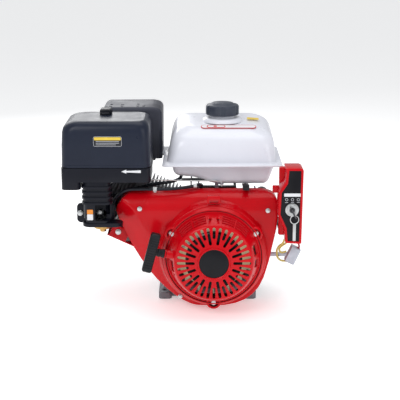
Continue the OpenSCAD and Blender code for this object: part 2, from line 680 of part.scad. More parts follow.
module fan_cover() color("firebrick") difference() {
    union() {
        along_y(-145, -70) polygon(cover_edge);
        turned_y([[90, recoil_back], [113, recoil_back], [118, -144], [90, -144]]);
    }
    along_y(-145 + wall, -60) polygon(inset(cover_edge, wall));
    turned_y([[0, -142], [115.5, -142], [110.5, recoil_back + wall], [97, recoil_back + wall], [97, -170],
        [0, -170]]);
    block([-220, -100, 0], [-118, -60, 300]);
    block([-220, -100, 232], [160, -60, 300]);
    for (a = [30, 150, 270]) rotate_crank(a) translate([106, 0, 0]) rod_y(3.3, -170, -150);
    for (p = cover_bolt_xz) rod_y(2.8, -150, -140, p);
}

// Turns a part by a about the crank axis, counted from +X towards +Z
module rotate_crank(a) translate([crank_x, 0, crank_z]) rotate([0, -a, 0]) children();

module recoil_housing() color("firebrick") difference() {
    union() {
        turned_y([[0, recoil_front], [78, recoil_front], [84, recoil_front + 2], [88, recoil_front + 8],
            [99, -174], [103, -167], [recoil_r, -167], [recoil_r, recoil_back - 0.1],
            [100, recoil_back - 0.1], [96, -173], [85, recoil_front + 10], [82, recoil_front + 5],
            [77, recoil_front + 3], [0, recoil_front + 3]]);
        rod_y(30, recoil_front, reel_y[0] - 1, [crank_x, crank_z]);
        rod_y(8.95, recoil_front, -179, [crank_x, crank_z]);
        pull_place() translate([0, 0, -16]) cylinder(r = 10, h = 20);
        rotate_crank(90) block([92, -180, -12], [112, -163.2, 12]);
    }
    difference() {
        rod_y(26, recoil_front + 4, -180, [crank_x, crank_z]);
        rod_y(8.95, recoil_front, -160, [crank_x, crank_z]);
    }
    for (i = [0:slot_count - 1]) rotate_crank(i * 360 / slot_count) {
        start = i % 2 == 0 ? 43 : 55;
        block([start, recoil_front - 1, -2.6], [79, recoil_front + 4, 2.6]);
        rod_y(2.6, recoil_front - 1, recoil_front + 4, [start, 0]);
    }
    for (a = [52:12:128]) if (a != 88) rotate_crank(a) block([84, -200, -6], [104, -184, 6]);
    for (a = [196, 344]) rotate_crank(a) block([80, -202, -14], [104, -182, 14]);
    pull_place() {
        translate([0, 0, -20]) cylinder(r = 3.6, h = 30);
        translate([0, 0, -24]) cylinder(r1 = 14, r2 = 3.6, h = 20);
    }
    for (a = [30, 150, 270]) rotate_crank(a) translate([106, 0, 0]) {
        rod_y(3.3, -180, -150);
        rod_y(6.6, -180, -167);
    }
    rotate_crank(90) block([98, -190, -6], [106, -150, 6]);
}

module hub_label() color("#1a1a1c") rod_y(32, recoil_front - 2, recoil_front - 0.02, [crank_x, crank_z]);

module recoil_reel() color("#2a2a2c") turned_y([[9, reel_y[0]], [62, reel_y[0]], [62, reel_y[0] + 3],
    [55, reel_y[0] + 3], [55, reel_y[1] - 3], [62, reel_y[1] - 3], [62, reel_y[1]], [20, reel_y[1]],
    [20, -178], [9, -178]]);

// The rope's fixed run: from the reel's groove to the guide
module starter_rope() color("#e6e0cf")
    tube([[4, -194, 192.4], [-20, -194, 187], [-50, -194, 166], [-70, -194, 150.5], [-80, -194, 146.3],
        [-88, -194, 147.4]], 2.4, [0, 1, 0.02], 4);

// Moves to where the rope leaves, with +Z along its pull
module pull_place() translate(rope_exit) rotate([0, -90 + rope_tilt, 0]) children();

module starter_handle() color("#1c1c1e") {
    pull_place() translate([0, 0, 4.3]) cylinder(r1 = 8, r2 = 11, h = 26);
    hull() for (p = [[-111, 190], [-133, 114]]) translate([p[0], -196, p[1]]) {
        sphere(r = 10, $fn = facet_fn);
        translate([-2, 0, 0]) sphere(r = 10, $fn = facet_fn);
    }
}

module flywheel() color("#8f8f8f") {
    turned_y([[15.05, -77], [28, -77], [28, -90], [80, -90], [80, -64], [94, -64], [94, -105], [60, -105],
        [60, -100], [28, -100], [28, -109], [11.5, -109]]);
    difference() {
        translate([crank_x, 0, crank_z]) gear_y(66, -76, -64, 0, 94.05, 3);
        rod_y(94.05, -80, -60, [crank_x, crank_z]);
    }
}

module cooling_fan() color("#d8ccb0") {
    turned_y([[30, -108.2], [90, -108.2], [90, -105.1], [30, -105.1]]);
    turned_y([[57, -160], [60, -160], [60, -107], [57, -107]]);
    for (a = [0:22.5:337.5]) rotate_crank(a) block([59, -158, -1.5], [89, -107, 1.5]);
}

module starter_cup() color("#202022") turned_y([[7.05, -144], [52, -144], [52, -172], [55, -172],
    [55, -143], [52, -140], [20, -140], [20, -112.2], [7.05, -112.2]]);

module lower_shroud() color("firebrick") in_bore() {
    translate([-74, -112, 112]) cube([2.5, 150, 118]);
    difference() {
        translate([-74, -112, 186]) cube([30, 2.5, 40]);
        translate([-57, -108, 210]) rotate([90, 0, 0]) cylinder(d = 6.6, h = 6);
    }
}

// ---- controls and electrics ----

module control_base() color("gainsboro") difference() {
    union() {
        block([-4, -97, 251], [112, -60, 254]);
        block([40, -63, 205], [60, -60.05, 254]);
        block([104, -97, 254], [107, -80, 272]);
        translate([lever_xy[0], lever_xy[1], 254]) cylinder(r = 6, h = 22);
    }
    translate([governor_xy[0], governor_xy[1], 240]) cylinder(r = 4.05, h = 30);
    translate([lever_xy[0], lever_xy[1], 240]) cylinder(r = 3.05, h = 60);
}

module throttle_lever() color("#2d2d2f") translate([lever_xy[0], lever_xy[1], 0]) {
    translate([0, 0, 256]) cylinder(r = 3, h = 24);
    translate([0, 0, 276.1]) linear_extrude(2.5) polygon([[-7, 7], [7, 7], [6, -44], [-6, -44]]);
    block([-7, -50, 276.1], [7, -42, 288]);
}

box_edge = [[203.5, 336], [198, 340], [164, 340], [167, 332], [165, 308], [152, 288], [150, 237], [164, 206],
    [167, 174], [202, 172]];

// The box's outline, shrunk by d; its rear part stops short of the fan cover's side
module box_outline(d, clear_of_cover = false) intersection() {
    polygon(inset(box_edge, d));
    translate([clear_of_cover ? 155.4 + d : 100, 100]) square(300);
}

module switch_box() color("firebrick") difference() {
    union() {
        along_y(-202, -146) box_outline(0);
        along_y(-147, -132) box_outline(0, true);
        block([141, -149, 273], [166, -146, 290]);
        block([155.4, -135, 224], [158, -104, 250]);
    }
    along_y(-199, -148.5) box_outline(2);
    along_y(-150, -134.5) box_outline(2, true);
    along_y(-203, -198) box_outline(5);
}

module switch_panel() color("#1b1b1d") difference() {
    union() {
        along_y(-201, -198.5) box_outline(5.2);
        rod_y(12, -206, -200, [180, 249]);
        rod_y(14, -198.5, -165, [180, 249]);
        along_y(-203, -201) translate([172, 288]) rounded([0, 0], [23, 30], 3);
    }
    rod_y(5, -210, -180, [180, 249]);
}

module ignition_key() color("silver") translate([180, 0, 249]) rotate([0, -30, 0]) difference() {
    union() {
        rod_y(4.9, -212, -182);
        block([-1.2, -234, -13], [1.2, -210, 9]);
    }
    translate([-5, -226, -7]) rotate([0, 90, 0]) cylinder(r = 4, h = 10);
}

module key_ring() color("gainsboro") translate([183.5, -226, 242.9]) {
    translate([0, 0, -9]) rotate([90, 0, 0]) rotate_extrude() translate([9, 0]) circle(0.9);
    block([-8, -1, -60], [8, 1, -18.4]);
}

module starter_motor() color("#2b2b2d") difference() {
    union() {
        rod_y(34, -44, 66, starter_xz);
        rod_y(30, 66, 72, starter_xz);
        rod_y(15, -10, 52, [starter_xz[0] + 10, starter_xz[1] + 50]);
        block([starter_xz[0] - 2, -4, starter_xz[1] + 30], [starter_xz[0] + 22, 44, starter_xz[1] + 44]);
        along_y(-50, -44) difference() {
            polygon([[60, 104], [60, 186], [starter_xz[0], starter_xz[1] + 36],
                [starter_xz[0] + 34, starter_xz[1]], [starter_xz[0], starter_xz[1] - 36]]);
            case_outline(8.1);
        }
    }
    rod_y(6, -60, -30, starter_xz);
}

module starter_pinion() color("darkgray") translate([starter_xz[0], 0, starter_xz[1]]) {
    rod_y(5.9, -62, -31);
    gear_y(9, -61, -51, 0, 5.8, 3);
}

module regulator() color("silver") {
    translate([190, -120, 124]) rotate([0, 25, 0]) block([-11, -14, -19], [11, 10, 19]);
    block([138.6, -122, 119], [182, -119, 129]);
}

module wiring() {
    color("goldenrod") tube([[176, -150, 171], [173, -146, 158], [166, -138, 150], [160, -132, 140],
        [164, -128, 131], [176, -128, 133]], 2.2, [0, 0.3, 1]);
    color("goldenrod") tube([[170, -154, 172], [166, -152, 160], [158, -144, 150], [154, -136, 136],
        [162, -124, 112], [178, -122, 108]], 2.2, [0, 0.3, 1]);
    color("crimson") tube([[190, -142, 171], [196, -140, 160], [203, -132, 150], [203, -126, 140],
        [200, -122, 140]], 2, [0, 0.3, 1]);
    color("#222222") tube([[160, -134, 200], [159, -128, 190], [159, -98, 186], [158, -66, 194],
        [146, -40, 212], [130, -14, 222]], 3, [0, 0.3, 1]);
}

module cover_bolts() color("gainsboro") {
    for (a = [30, 150, 270]) rotate_crank(a) translate([106, -167, 0]) rotate([90, 0, 0]) bolt(6, 14);
    for (p = [[-283, 221], [-241, 221]]) translate([p[0], -124, p[1]]) rotate([90, 0, 0]) bolt(6, 8);
    in_bore() translate([-57, -112, 210]) rotate([90, 0, 0]) bolt(6, 12);
    for (p = cover_bolt_xz) translate([p[0], -145, p[1]]) rotate([90, 0, 0]) bolt(5, 6);
    translate([-116, -136, 272]) cylinder(r = 4, h = 2);
}

module dipstick() color("#2a2a2c") filler() difference() {
    union() {
        translate([0, 0, neck_len]) cylinder(r = 15, h = 9);
        translate([0, 0, -4]) cylinder(r = 8.9, h = neck_len + 5);
        translate([0, 0, -44]) cylinder(r = 2.5, h = 44);
        block([-13, -2.5, neck_len + 8], [13, 2.5, neck_len + 16]);
    }
    translate([0, 0, -5]) cylinder(r = 2, h = 4);
}

// The last lines draw the chosen sub-part, or all of them
crankcase();
side_cover();
bearings_and_seals();
cylinder_sleeve();
cylinder_head();
head_cover();
spark_plug();
ignition_coil();
ignition_lead();
piston();
piston_pin_and_rings();
connecting_rod();
valve_set();
valve_gear();
carburetor();
float_bowl();
intake_spacer();
intake_elbow();
air_cleaner_base();
air_filter();
muffler();
muffler_cover();
fuel_tank();
tank_bracket();
fuel_hose();
fan_cover();
recoil_housing();
hub_label();
lower_shroud();
control_base();
switch_box();
switch_panel();
starter_motor();
regulator();
wiring();
case_bolts();
cover_bolts();
crankshaft();
flywheel();
cooling_fan();
starter_cup();
rod_big_end();
camshaft();
balancer_shaft();
governor_gear();
recoil_reel();
starter_handle();
starter_rope();
throttle_lever();
governor_arm();
governor_rod();
carb_throttle_arm();
choke_lever();
fuel_valve_lever();
ignition_key();
key_ring();
fuel_cap();
dipstick();
air_cleaner_cover();
starter_pinion();
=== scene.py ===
# %% [markdown]
# # A small gasoline engine
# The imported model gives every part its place. This lesson gives each part that shows a made shape and a
# finish: pressed and painted steel, moulded plastic, cast aluminium, turned steel, rubber and nylon.

# %% The frame
import json
from math import cos, pi, radians, sin

import bmesh
import bpy
from mathutils import Matrix, Vector
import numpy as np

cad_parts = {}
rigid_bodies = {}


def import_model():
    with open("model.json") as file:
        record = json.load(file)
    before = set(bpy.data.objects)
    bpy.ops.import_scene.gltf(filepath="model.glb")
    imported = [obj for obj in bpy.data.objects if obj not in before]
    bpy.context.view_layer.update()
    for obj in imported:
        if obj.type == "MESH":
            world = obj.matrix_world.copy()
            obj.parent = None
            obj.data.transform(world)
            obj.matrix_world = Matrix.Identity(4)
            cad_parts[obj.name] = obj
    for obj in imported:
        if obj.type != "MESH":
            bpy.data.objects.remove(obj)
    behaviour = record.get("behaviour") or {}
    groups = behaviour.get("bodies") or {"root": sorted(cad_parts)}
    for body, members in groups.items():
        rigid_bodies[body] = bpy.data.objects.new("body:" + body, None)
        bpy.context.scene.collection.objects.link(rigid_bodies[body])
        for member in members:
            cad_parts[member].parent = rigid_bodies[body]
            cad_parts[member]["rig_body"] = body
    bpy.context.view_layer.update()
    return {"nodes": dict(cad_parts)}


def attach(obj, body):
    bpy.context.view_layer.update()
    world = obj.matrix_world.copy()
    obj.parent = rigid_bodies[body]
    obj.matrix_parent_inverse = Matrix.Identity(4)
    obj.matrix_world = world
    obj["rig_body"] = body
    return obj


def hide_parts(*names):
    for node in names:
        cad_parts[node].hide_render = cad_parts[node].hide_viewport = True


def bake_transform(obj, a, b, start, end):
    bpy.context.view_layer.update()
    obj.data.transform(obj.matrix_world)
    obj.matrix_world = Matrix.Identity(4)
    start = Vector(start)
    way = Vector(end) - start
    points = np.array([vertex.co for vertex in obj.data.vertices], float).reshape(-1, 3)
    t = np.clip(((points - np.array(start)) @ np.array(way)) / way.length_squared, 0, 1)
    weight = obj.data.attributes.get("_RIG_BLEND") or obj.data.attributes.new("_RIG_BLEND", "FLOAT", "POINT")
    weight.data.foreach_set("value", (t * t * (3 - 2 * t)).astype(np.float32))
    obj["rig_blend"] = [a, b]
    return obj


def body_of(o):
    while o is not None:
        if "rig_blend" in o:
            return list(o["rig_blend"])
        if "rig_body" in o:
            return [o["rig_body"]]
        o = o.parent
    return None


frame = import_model()
nodes = frame["nodes"]

# %% [markdown]
# ## Camera, floor and light
# The engine stands on a pale floor under soft studio light, seen from the recoil starter's side and a
# little above. A long lens keeps the sides nearly straight.

# %% Camera
def at(x, y, z):
    """A place in millimetres, as a vector in metres."""
    return Vector((x, y, z)) / 1000


camera = bpy.data.objects.new("camera", bpy.data.cameras.new("camera"))
bpy.context.scene.collection.objects.link(camera)
camera.location = at(-17.2, -2392, 845.5)
camera.rotation_euler = (radians(90 - 14.7), 0, 0)
camera.data.lens = 95.4
camera.data.sensor_width = 36
bpy.context.scene.camera = camera
bpy.context.scene.view_settings.view_transform = "Standard"

# %% Floor and lights
def plain(name, colour, roughness):
    material = bpy.data.materials.new(name)
    material.use_nodes = True
    shader = material.node_tree.nodes["Principled BSDF"]
    shader.inputs["Base Color"].default_value = (*colour, 1)
    shader.inputs["Roughness"].default_value = roughness
    return material


def glow(material, colour, strength):
    """Gives a material a faint light of its own."""
    shader = material.node_tree.nodes["Principled BSDF"]
    shader.inputs["Emission Color"].default_value = (*colour, 1)
    shader.inputs["Emission Strength"].default_value = strength


def clear():
    """Leaves edit mode and selects nothing."""
    if bpy.context.object and bpy.context.object.mode != "OBJECT":
        bpy.ops.object.mode_set(mode="OBJECT")
    bpy.ops.object.select_all(action="DESELECT")


clear()
bpy.ops.mesh.primitive_plane_add(size=60, location=(0, 0, -0.0005))
floor = bpy.context.object
floor.name = "studio_floor"
paper = plain("studio_paper", (0.95, 0.95, 0.955), 0.95)
glow(paper, (1, 1, 1), 0.36)
floor.data.materials.append(paper)

world = bpy.data.worlds.new("studio")
bpy.context.scene.world = world
world.use_nodes = True
# The light of the room is half as strong as the backdrop that the camera sees.
room = world.node_tree.nodes["Background"]
room.inputs["Color"].default_value = (0.97, 0.985, 1, 1)
room.inputs["Strength"].default_value = 0.5
backdrop = world.node_tree.nodes.new("ShaderNodeBackground")
backdrop.inputs["Color"].default_value = (0.98, 0.985, 1, 1)
seen = world.node_tree.nodes.new("ShaderNodeLightPath")
either = world.node_tree.nodes.new("ShaderNodeMixShader")
for source, target in ((seen.outputs["Is Camera Ray"], either.inputs["Fac"]),
                       (room.outputs[0], either.inputs[1]),
                       (backdrop.outputs[0], either.inputs[2]),
                       (either.outputs[0], world.node_tree.nodes["World Output"].inputs["Surface"])):
    world.node_tree.links.new(source, target)


def softbox(name, place, aim, size, power):
    light = bpy.data.objects.new(name, bpy.data.lights.new(name, "AREA"))
    bpy.context.scene.collection.objects.link(light)
    light.location = place
    light.rotation_euler = (Vector(aim) - Vector(place)).to_track_quat("-Z", "Y").to_euler()
    light.data.shape = "RECTANGLE"
    light.data.size, light.data.size_y = size
    light.data.energy = power


softbox("key_light", (-1.1, -1.9, 1.7), (0, 0, 0.22), (1.3, 1.0), 19)
softbox("fill_light", (1.7, -1.5, 1.0), (0, 0, 0.2), (1.2, 1.2), 8)
softbox("top_light", (0.1, 0.1, 2.1), (0, 0, 0.2), (1.8, 1.4), 15)
softbox("back_light", (-0.8, 1.8, 1.2), (0, 0, 0.25), (1.4, 1.0), 12)

# %% [markdown]
# ## Finishes
# Each finish is one Principled shader. What several share is a node group: `mottle` varies a value over
# the surface like handling and dust, and `grain` is the fine relief of a casting, moulding or paint film.

# %% Shared node groups
def group(name, inputs, outputs):
    tree = bpy.data.node_groups.new(name, "ShaderNodeTree")
    for label, kind, value in inputs:
        socket = tree.interface.new_socket(label, in_out="INPUT", socket_type="NodeSocket" + kind)
        socket.default_value = value
    for label, kind in outputs:
        tree.interface.new_socket(label, in_out="OUTPUT", socket_type="NodeSocket" + kind)
    return tree, tree.nodes.new("NodeGroupInput"), tree.nodes.new("NodeGroupOutput")


def add(tree, kind, **settings):
    node = tree.nodes.new("ShaderNode" + kind)
    for key, value in settings.items():
        if hasattr(node, key):
            setattr(node, key, value)
        else:
            node.inputs[key.replace("_", " ")].default_value = value
    return node


def join(tree, source, target):
    tree.links.new(source, target)


mottle, g_in, g_out = group("mottle", [("Scale", "Float", 20), ("Low", "Float", 0), ("High", "Float", 1)],
                            [("Value", "Float"), ("Speck", "Float")])
where = add(mottle, "TexCoord")
patches = add(mottle, "TexNoise", Detail=6, Roughness=0.65)
specks = add(mottle, "TexVoronoi", Scale=900)
spread = add(mottle, "MapRange")
dots = add(mottle, "MapRange")
dots.inputs["From Min"].default_value, dots.inputs["From Max"].default_value = 0.12, 0.02
join(mottle, where.outputs["Object"], patches.inputs["Vector"])
join(mottle, where.outputs["Object"], specks.inputs["Vector"])
join(mottle, g_in.outputs["Scale"], patches.inputs["Scale"])
join(mottle, patches.outputs["Fac"], spread.inputs["Value"])
spread.inputs["From Min"].default_value, spread.inputs["From Max"].default_value = 0.3, 0.7
join(mottle, g_in.outputs["Low"], spread.inputs["To Min"])
join(mottle, g_in.outputs["High"], spread.inputs["To Max"])
join(mottle, spread.outputs["Result"], g_out.inputs["Value"])
join(mottle, specks.outputs["Distance"], dots.inputs["Value"])
join(mottle, dots.outputs["Result"], g_out.inputs["Speck"])

grain, g_in, g_out = group("grain", [("Scale", "Float", 400), ("Coarse", "Float", 60),
                                     ("Share", "Float", 0.3)], [("Height", "Float")])
where = add(grain, "TexCoord")
fine = add(grain, "TexNoise", Detail=3, Roughness=0.6)
broad = add(grain, "TexNoise", Detail=2, Roughness=0.5)
blend_two = add(grain, "Mix")
join(grain, where.outputs["Object"], fine.inputs["Vector"])
join(grain, where.outputs["Object"], broad.inputs["Vector"])
join(grain, g_in.outputs["Scale"], fine.inputs["Scale"])
join(grain, g_in.outputs["Coarse"], broad.inputs["Scale"])
join(grain, g_in.outputs["Share"], blend_two.inputs["Factor"])
join(grain, fine.outputs["Fac"], blend_two.inputs["A"])
join(grain, broad.outputs["Fac"], blend_two.inputs["B"])
join(grain, blend_two.outputs["Result"], g_out.inputs["Height"])
print("groups", mottle.name, grain.name)

# %% [markdown]
# A finish takes two colours that it drifts between, two roughness limits, and how deep its grain is in
# metres. Paint has a clear coat. Castings have a coarser grain, and worn metal has bright specks.

# %% Finish maker
def use(tree, group_tree, **values):
    node = tree.nodes.new("ShaderNodeGroup")
    node.node_tree = group_tree
    for key, value in values.items():
        node.inputs[key].default_value = value
    return node


def finish(name, dark, light, rough, metal=0.0, coat=0.0, depth=0.00004, scale=900, coarse=60, share=0.3,
           patch=18, speck=None, shine=0.35):
    material = bpy.data.materials.new(name)
    material.use_nodes = True
    tree = material.node_tree
    shader = tree.nodes["Principled BSDF"]
    shader.inputs["Metallic"].default_value = metal
    shader.inputs["Coat Weight"].default_value = coat
    shader.inputs["Coat Roughness"].default_value = 0.12
    shader.inputs["Specular IOR Level"].default_value = shine
    drift = use(tree, mottle, Scale=patch, Low=0.0, High=1.0)
    colours = add(tree, "Mix", data_type="RGBA")
    colours.inputs["A"].default_value = (*dark, 1)
    colours.inputs["B"].default_value = (*light, 1)
    join(tree, drift.outputs["Value"], colours.inputs["Factor"])
    last = colours.outputs["Result"]
    if speck:
        flecks = add(tree, "Mix", data_type="RGBA")
        flecks.inputs["B"].default_value = (*speck, 1)
        join(tree, drift.outputs["Speck"], flecks.inputs["Factor"])
        join(tree, last, flecks.inputs["A"])
        last = flecks.outputs["Result"]
    join(tree, last, shader.inputs["Base Color"])
    gloss = use(tree, mottle, Scale=patch * 2.3, Low=rough[0], High=rough[1])
    join(tree, gloss.outputs["Value"], shader.inputs["Roughness"])
    relief = use(tree, grain, Scale=scale, Coarse=coarse, Share=share)
    bump = add(tree, "Bump", Strength=1.0, Distance=depth)
    join(tree, relief.outputs["Height"], bump.inputs["Height"])
    join(tree, bump.outputs["Normal"], shader.inputs["Normal"])
    return material


red_paint = finish("red_paint", (0.50, 0.001, 0.006), (0.60, 0.002, 0.008), (0.18, 0.28), coat=0.12,
                   shine=0.14, depth=0.00005, scale=260, coarse=45, share=0.35, patch=6)
white_paint = finish("white_paint", (0.72, 0.73, 0.80), (0.77, 0.78, 0.85), (0.24, 0.36), coat=0.35,
                     depth=0.00005, scale=240, coarse=30, share=0.5, patch=5)
# Near black: painted shade for the insides of the pressings, seen through the slots.
inner_painted_shade = finish("inner_painted_shade", (0.006, 0.005, 0.006), (0.012, 0.009, 0.010), (0.5, 0.7), shine=0.1)
cover_plastic = finish("cover_plastic", (0.008, 0.012, 0.026), (0.013, 0.018, 0.036), (0.26, 0.40),
                       shine=0.25, depth=0.00006, scale=1100, coarse=40, share=0.25, patch=9,
                       speck=(0.03, 0.036, 0.05))
base_plastic = finish("base_plastic", (0.004, 0.005, 0.010), (0.007, 0.008, 0.015), (0.34, 0.48), shine=0.22,
                      depth=0.00005, scale=1100, coarse=50, patch=10)
heat_paint = finish("heat_paint", (0.030, 0.032, 0.046), (0.048, 0.051, 0.070), (0.36, 0.52), metal=0.3,
                    depth=0.00005, scale=700, coarse=60, patch=9, speck=(0.14, 0.14, 0.15))
cast_aluminium = finish("cast_aluminium", (0.36, 0.37, 0.385), (0.52, 0.53, 0.545), (0.42, 0.62), metal=0.85,
                        depth=0.00022, scale=520, coarse=110, share=0.5, patch=16, speck=(0.66, 0.66, 0.67))
case_casting = finish("case_casting", (0.13, 0.13, 0.145), (0.21, 0.21, 0.23), (0.42, 0.6), metal=0.6,
                      depth=0.00022, scale=520, coarse=110, share=0.5, patch=16, speck=(0.3, 0.3, 0.32))
turned_steel = finish("turned_steel", (0.42, 0.43, 0.45), (0.60, 0.61, 0.62), (0.22, 0.36), metal=1.0,
                      depth=0.00003, scale=900, coarse=200, patch=30)
zinc_steel = finish("zinc_steel", (0.50, 0.52, 0.53), (0.68, 0.69, 0.68), (0.26, 0.44), metal=1.0,
                    depth=0.00004, scale=700, coarse=120, patch=40)
grey_iron = finish("grey_iron", (0.12, 0.12, 0.125), (0.20, 0.20, 0.205), (0.5, 0.7), metal=0.7,
                   depth=0.0003, scale=420, coarse=120, share=0.5, patch=20)
black_rubber = finish("black_rubber", (0.005, 0.006, 0.011), (0.011, 0.013, 0.020), (0.34, 0.5), shine=0.3,
                      depth=0.00005, scale=800, coarse=90, patch=26)
grip_plastic = finish("grip_plastic", (0.005, 0.006, 0.008), (0.011, 0.012, 0.015), (0.36, 0.5), shine=0.25,
                      depth=0.0002, scale=1500, coarse=300, share=0.5, patch=30)
fan_nylon_glowing = finish("fan_nylon_glowing", (0.66, 0.56, 0.42), (0.80, 0.71, 0.55), (0.45, 0.6),
                   depth=0.00006, scale=600, coarse=80, patch=20)
# The nylon glows faintly: painted light, so that the fan shows through the slots of the starter.
glow(fan_nylon_glowing, (0.78, 0.64, 0.45), 0.22)
clean_label = finish("label_black", (0.004, 0.004, 0.006), (0.007, 0.007, 0.010), (0.3, 0.4), shine=0.2,
                     depth=0.00002, scale=500, coarse=60, patch=30)
print("finishes", len(bpy.data.materials))

# %% [markdown]
# ## Working by hand
# The helpers below are the few moves that every piece uses: start a primitive, pick faces or edges by their
# place, cut one solid from another, and hand the finished piece to the body that it moves with.

# %% Picking and finishing
def pick(kind, test):
    """In edit mode, selects the corners, edges or faces whose middle and normal pass the test."""
    mesh = bpy.context.edit_object.data
    bm = bmesh.from_edit_mesh(mesh)
    bpy.ops.mesh.select_all(action="DESELECT")
    bpy.context.tool_settings.mesh_select_mode = (kind == "VERT", kind == "EDGE", kind == "FACE")
    chosen = 0
    for item in {"VERT": bm.verts, "EDGE": bm.edges, "FACE": bm.faces}[kind]:
        if kind == "VERT":
            middle, way = item.co, item.normal
        elif kind == "EDGE":
            middle, way = (item.verts[0].co + item.verts[1].co) / 2, item.verts[1].co - item.verts[0].co
        else:
            middle, way = item.calc_center_median(), item.normal
        if test(middle * 1000, way.normalized()):
            item.select_set(True)
            chosen += 1
    bm.select_flush_mode()
    bmesh.update_edit_mesh(mesh)
    return chosen


def edit():
    bpy.ops.object.mode_set(mode="EDIT")


def done():
    bpy.ops.object.mode_set(mode="OBJECT")


def outwards():
    """Turns every face of the active piece outwards."""
    edit()
    bpy.ops.mesh.select_all(action="SELECT")
    bpy.ops.mesh.normals_make_consistent(inside=False)
    done()


def modify(piece, kind, **settings):
    """Adds a modifier and applies it."""
    bpy.context.view_layer.objects.active = piece
    change = piece.modifiers.new(kind.lower(), kind)
    for key, value in settings.items():
        setattr(change, key, value)
    bpy.ops.object.modifier_apply(modifier=change.name)


def soften(piece, width, segments=3, angle=32):
    """Rounds every sharp edge by width millimetres."""
    modify(piece, "BEVEL", width=width / 1000, segments=segments, limit_method="ANGLE",
           angle_limit=radians(angle), harden_normals=False, miter_outer="MITER_ARC")


def settle(piece, body, *stands_for, smooth=35):
    """Puts the piece's place into its mesh, smooths it and hangs it on its body."""
    clear()
    piece.select_set(True)
    bpy.context.view_layer.objects.active = piece
    bpy.ops.object.transform_apply(location=True, rotation=True, scale=True)
    bpy.ops.object.shade_smooth_by_angle(angle=radians(smooth))
    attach(piece, body)
    if stands_for:
        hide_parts(*stands_for)
    clear()
    print(piece.name, len(piece.data.polygons), "faces")
    return piece


def paint(piece, *materials):
    piece.data.materials.clear()
    for material in materials:
        piece.data.materials.append(material)


# %% Primitives at a place
def block(name, low, high):
    """A box between two corners, in millimetres."""
    clear()
    middle = [(a + b) / 2000 for a, b in zip(low, high)]
    bpy.ops.mesh.primitive_cube_add(size=1, location=middle)
    piece = bpy.context.object
    piece.name = name
    piece.scale = [(b - a) / 1000 for a, b in zip(low, high)]
    bpy.ops.object.transform_apply(location=True, rotation=True, scale=True)
    return piece


def rod(name, radius, start, end, sides=48):
    """A cylinder from one point to another, in millimetres."""
    clear()
    a, b = at(*start), at(*end)
    bpy.ops.mesh.primitive_cylinder_add(vertices=sides, radius=radius / 1000, depth=(b - a).length,
                                        location=(a + b) / 2,
                                        rotation=(b - a).to_track_quat("Z", "Y").to_euler())
    piece = bpy.context.object
    piece.name = name
    bpy.ops.object.transform_apply(location=True, rotation=True, scale=True)
    return piece


def turned(name, profile, middle, axis="Y", sides=96):
    """A ring of (radius, distance) steps along an axis, drawn out step by step as on a lathe; a radius of 0
    closes on the axis."""
    clear()
    bpy.ops.mesh.primitive_circle_add(vertices=sides, radius=1)
    piece = bpy.context.object
    piece.name = name
    edit()
    # A ring that closes on the axis is drawn this wide, so that it stays round, and is then snapped shut.
    tip = 0.2
    radius, level = 1.0, 0.0
    for i, (wanted, distance) in enumerate(profile):
        if i > 0:
            bpy.ops.mesh.extrude_edges_move()
        wanted, distance = max(wanted, tip) / 1000, distance / 1000
        bpy.ops.transform.translate(value=(0, 0, distance - level))
        grow = wanted / radius
        bpy.ops.transform.resize(value=(grow, grow, 1), center_override=(0, 0, distance))
        radius, level = wanted, distance
    done()
    for corner in piece.data.vertices:
        if corner.co.xy.length < 1.1 * tip / 1000:
            corner.co.xy = (0, 0)
    edit()
    bpy.ops.mesh.select_all(action="SELECT")
    bpy.ops.mesh.remove_doubles(threshold=0.00001)
    bpy.ops.mesh.normals_make_consistent(inside=False)
    done()
    piece.rotation_euler = {"Y": (-pi / 2, 0, 0), "Z": (0, 0, 0), "X": (0, pi / 2, 0)}[axis]
    piece.location = at(*middle)
    bpy.ops.object.transform_apply(location=True, rotation=True, scale=True)
    return piece


def outline(name, corners, y_front, y_back):
    """A plate with a drawn outline in X and Z, from its front to its back."""
    clear()
    bpy.ops.mesh.primitive_circle_add(vertices=len(corners), radius=0.1, fill_type="NGON")
    piece = bpy.context.object
    piece.name = name
    for corner, (x, z) in zip(piece.data.vertices, corners):
        corner.co = at(x, y_front, z)
    edit()
    bpy.ops.mesh.select_all(action="SELECT")
    bpy.ops.mesh.extrude_region_move(TRANSFORM_OT_translate={"value": (0, (y_back - y_front) / 1000, 0)})
    bpy.ops.mesh.select_all(action="SELECT")
    bpy.ops.mesh.normals_make_consistent(inside=False)
    done()
    return piece


def merge(name, *parts):
    """Joins separate pieces into one object."""
    clear()
    for part in parts:
        part.select_set(True)
    bpy.context.view_layer.objects.active = parts[0]
    bpy.ops.object.join()
    parts[0].name = name
    clear()
    return parts[0]


def carve(piece, *cutters, how="DIFFERENCE"):
    """Cuts the others out of the piece, or welds them on."""
    for cutter in cutters:
        modify(piece, "BOOLEAN", operation=how, object=cutter, solver="EXACT")
        bpy.data.objects.remove(cutter)


def around(piece, angle, middle, axis="Y"):
    """Turns a piece about an axis through a point; positive angles run from +X towards +Z."""
    pivot = Matrix.Translation(at(*middle))
    piece.data.transform(pivot @ Matrix.Rotation(-radians(angle), 4, axis) @ pivot.inverted())


def stretch(piece, middle, x, y):
    """Scales a piece in X and Y about a point."""
    pivot = Matrix.Translation(at(*middle))
    piece.data.transform(pivot @ Matrix.Diagonal((x, y, 1, 1)) @ pivot.inverted())


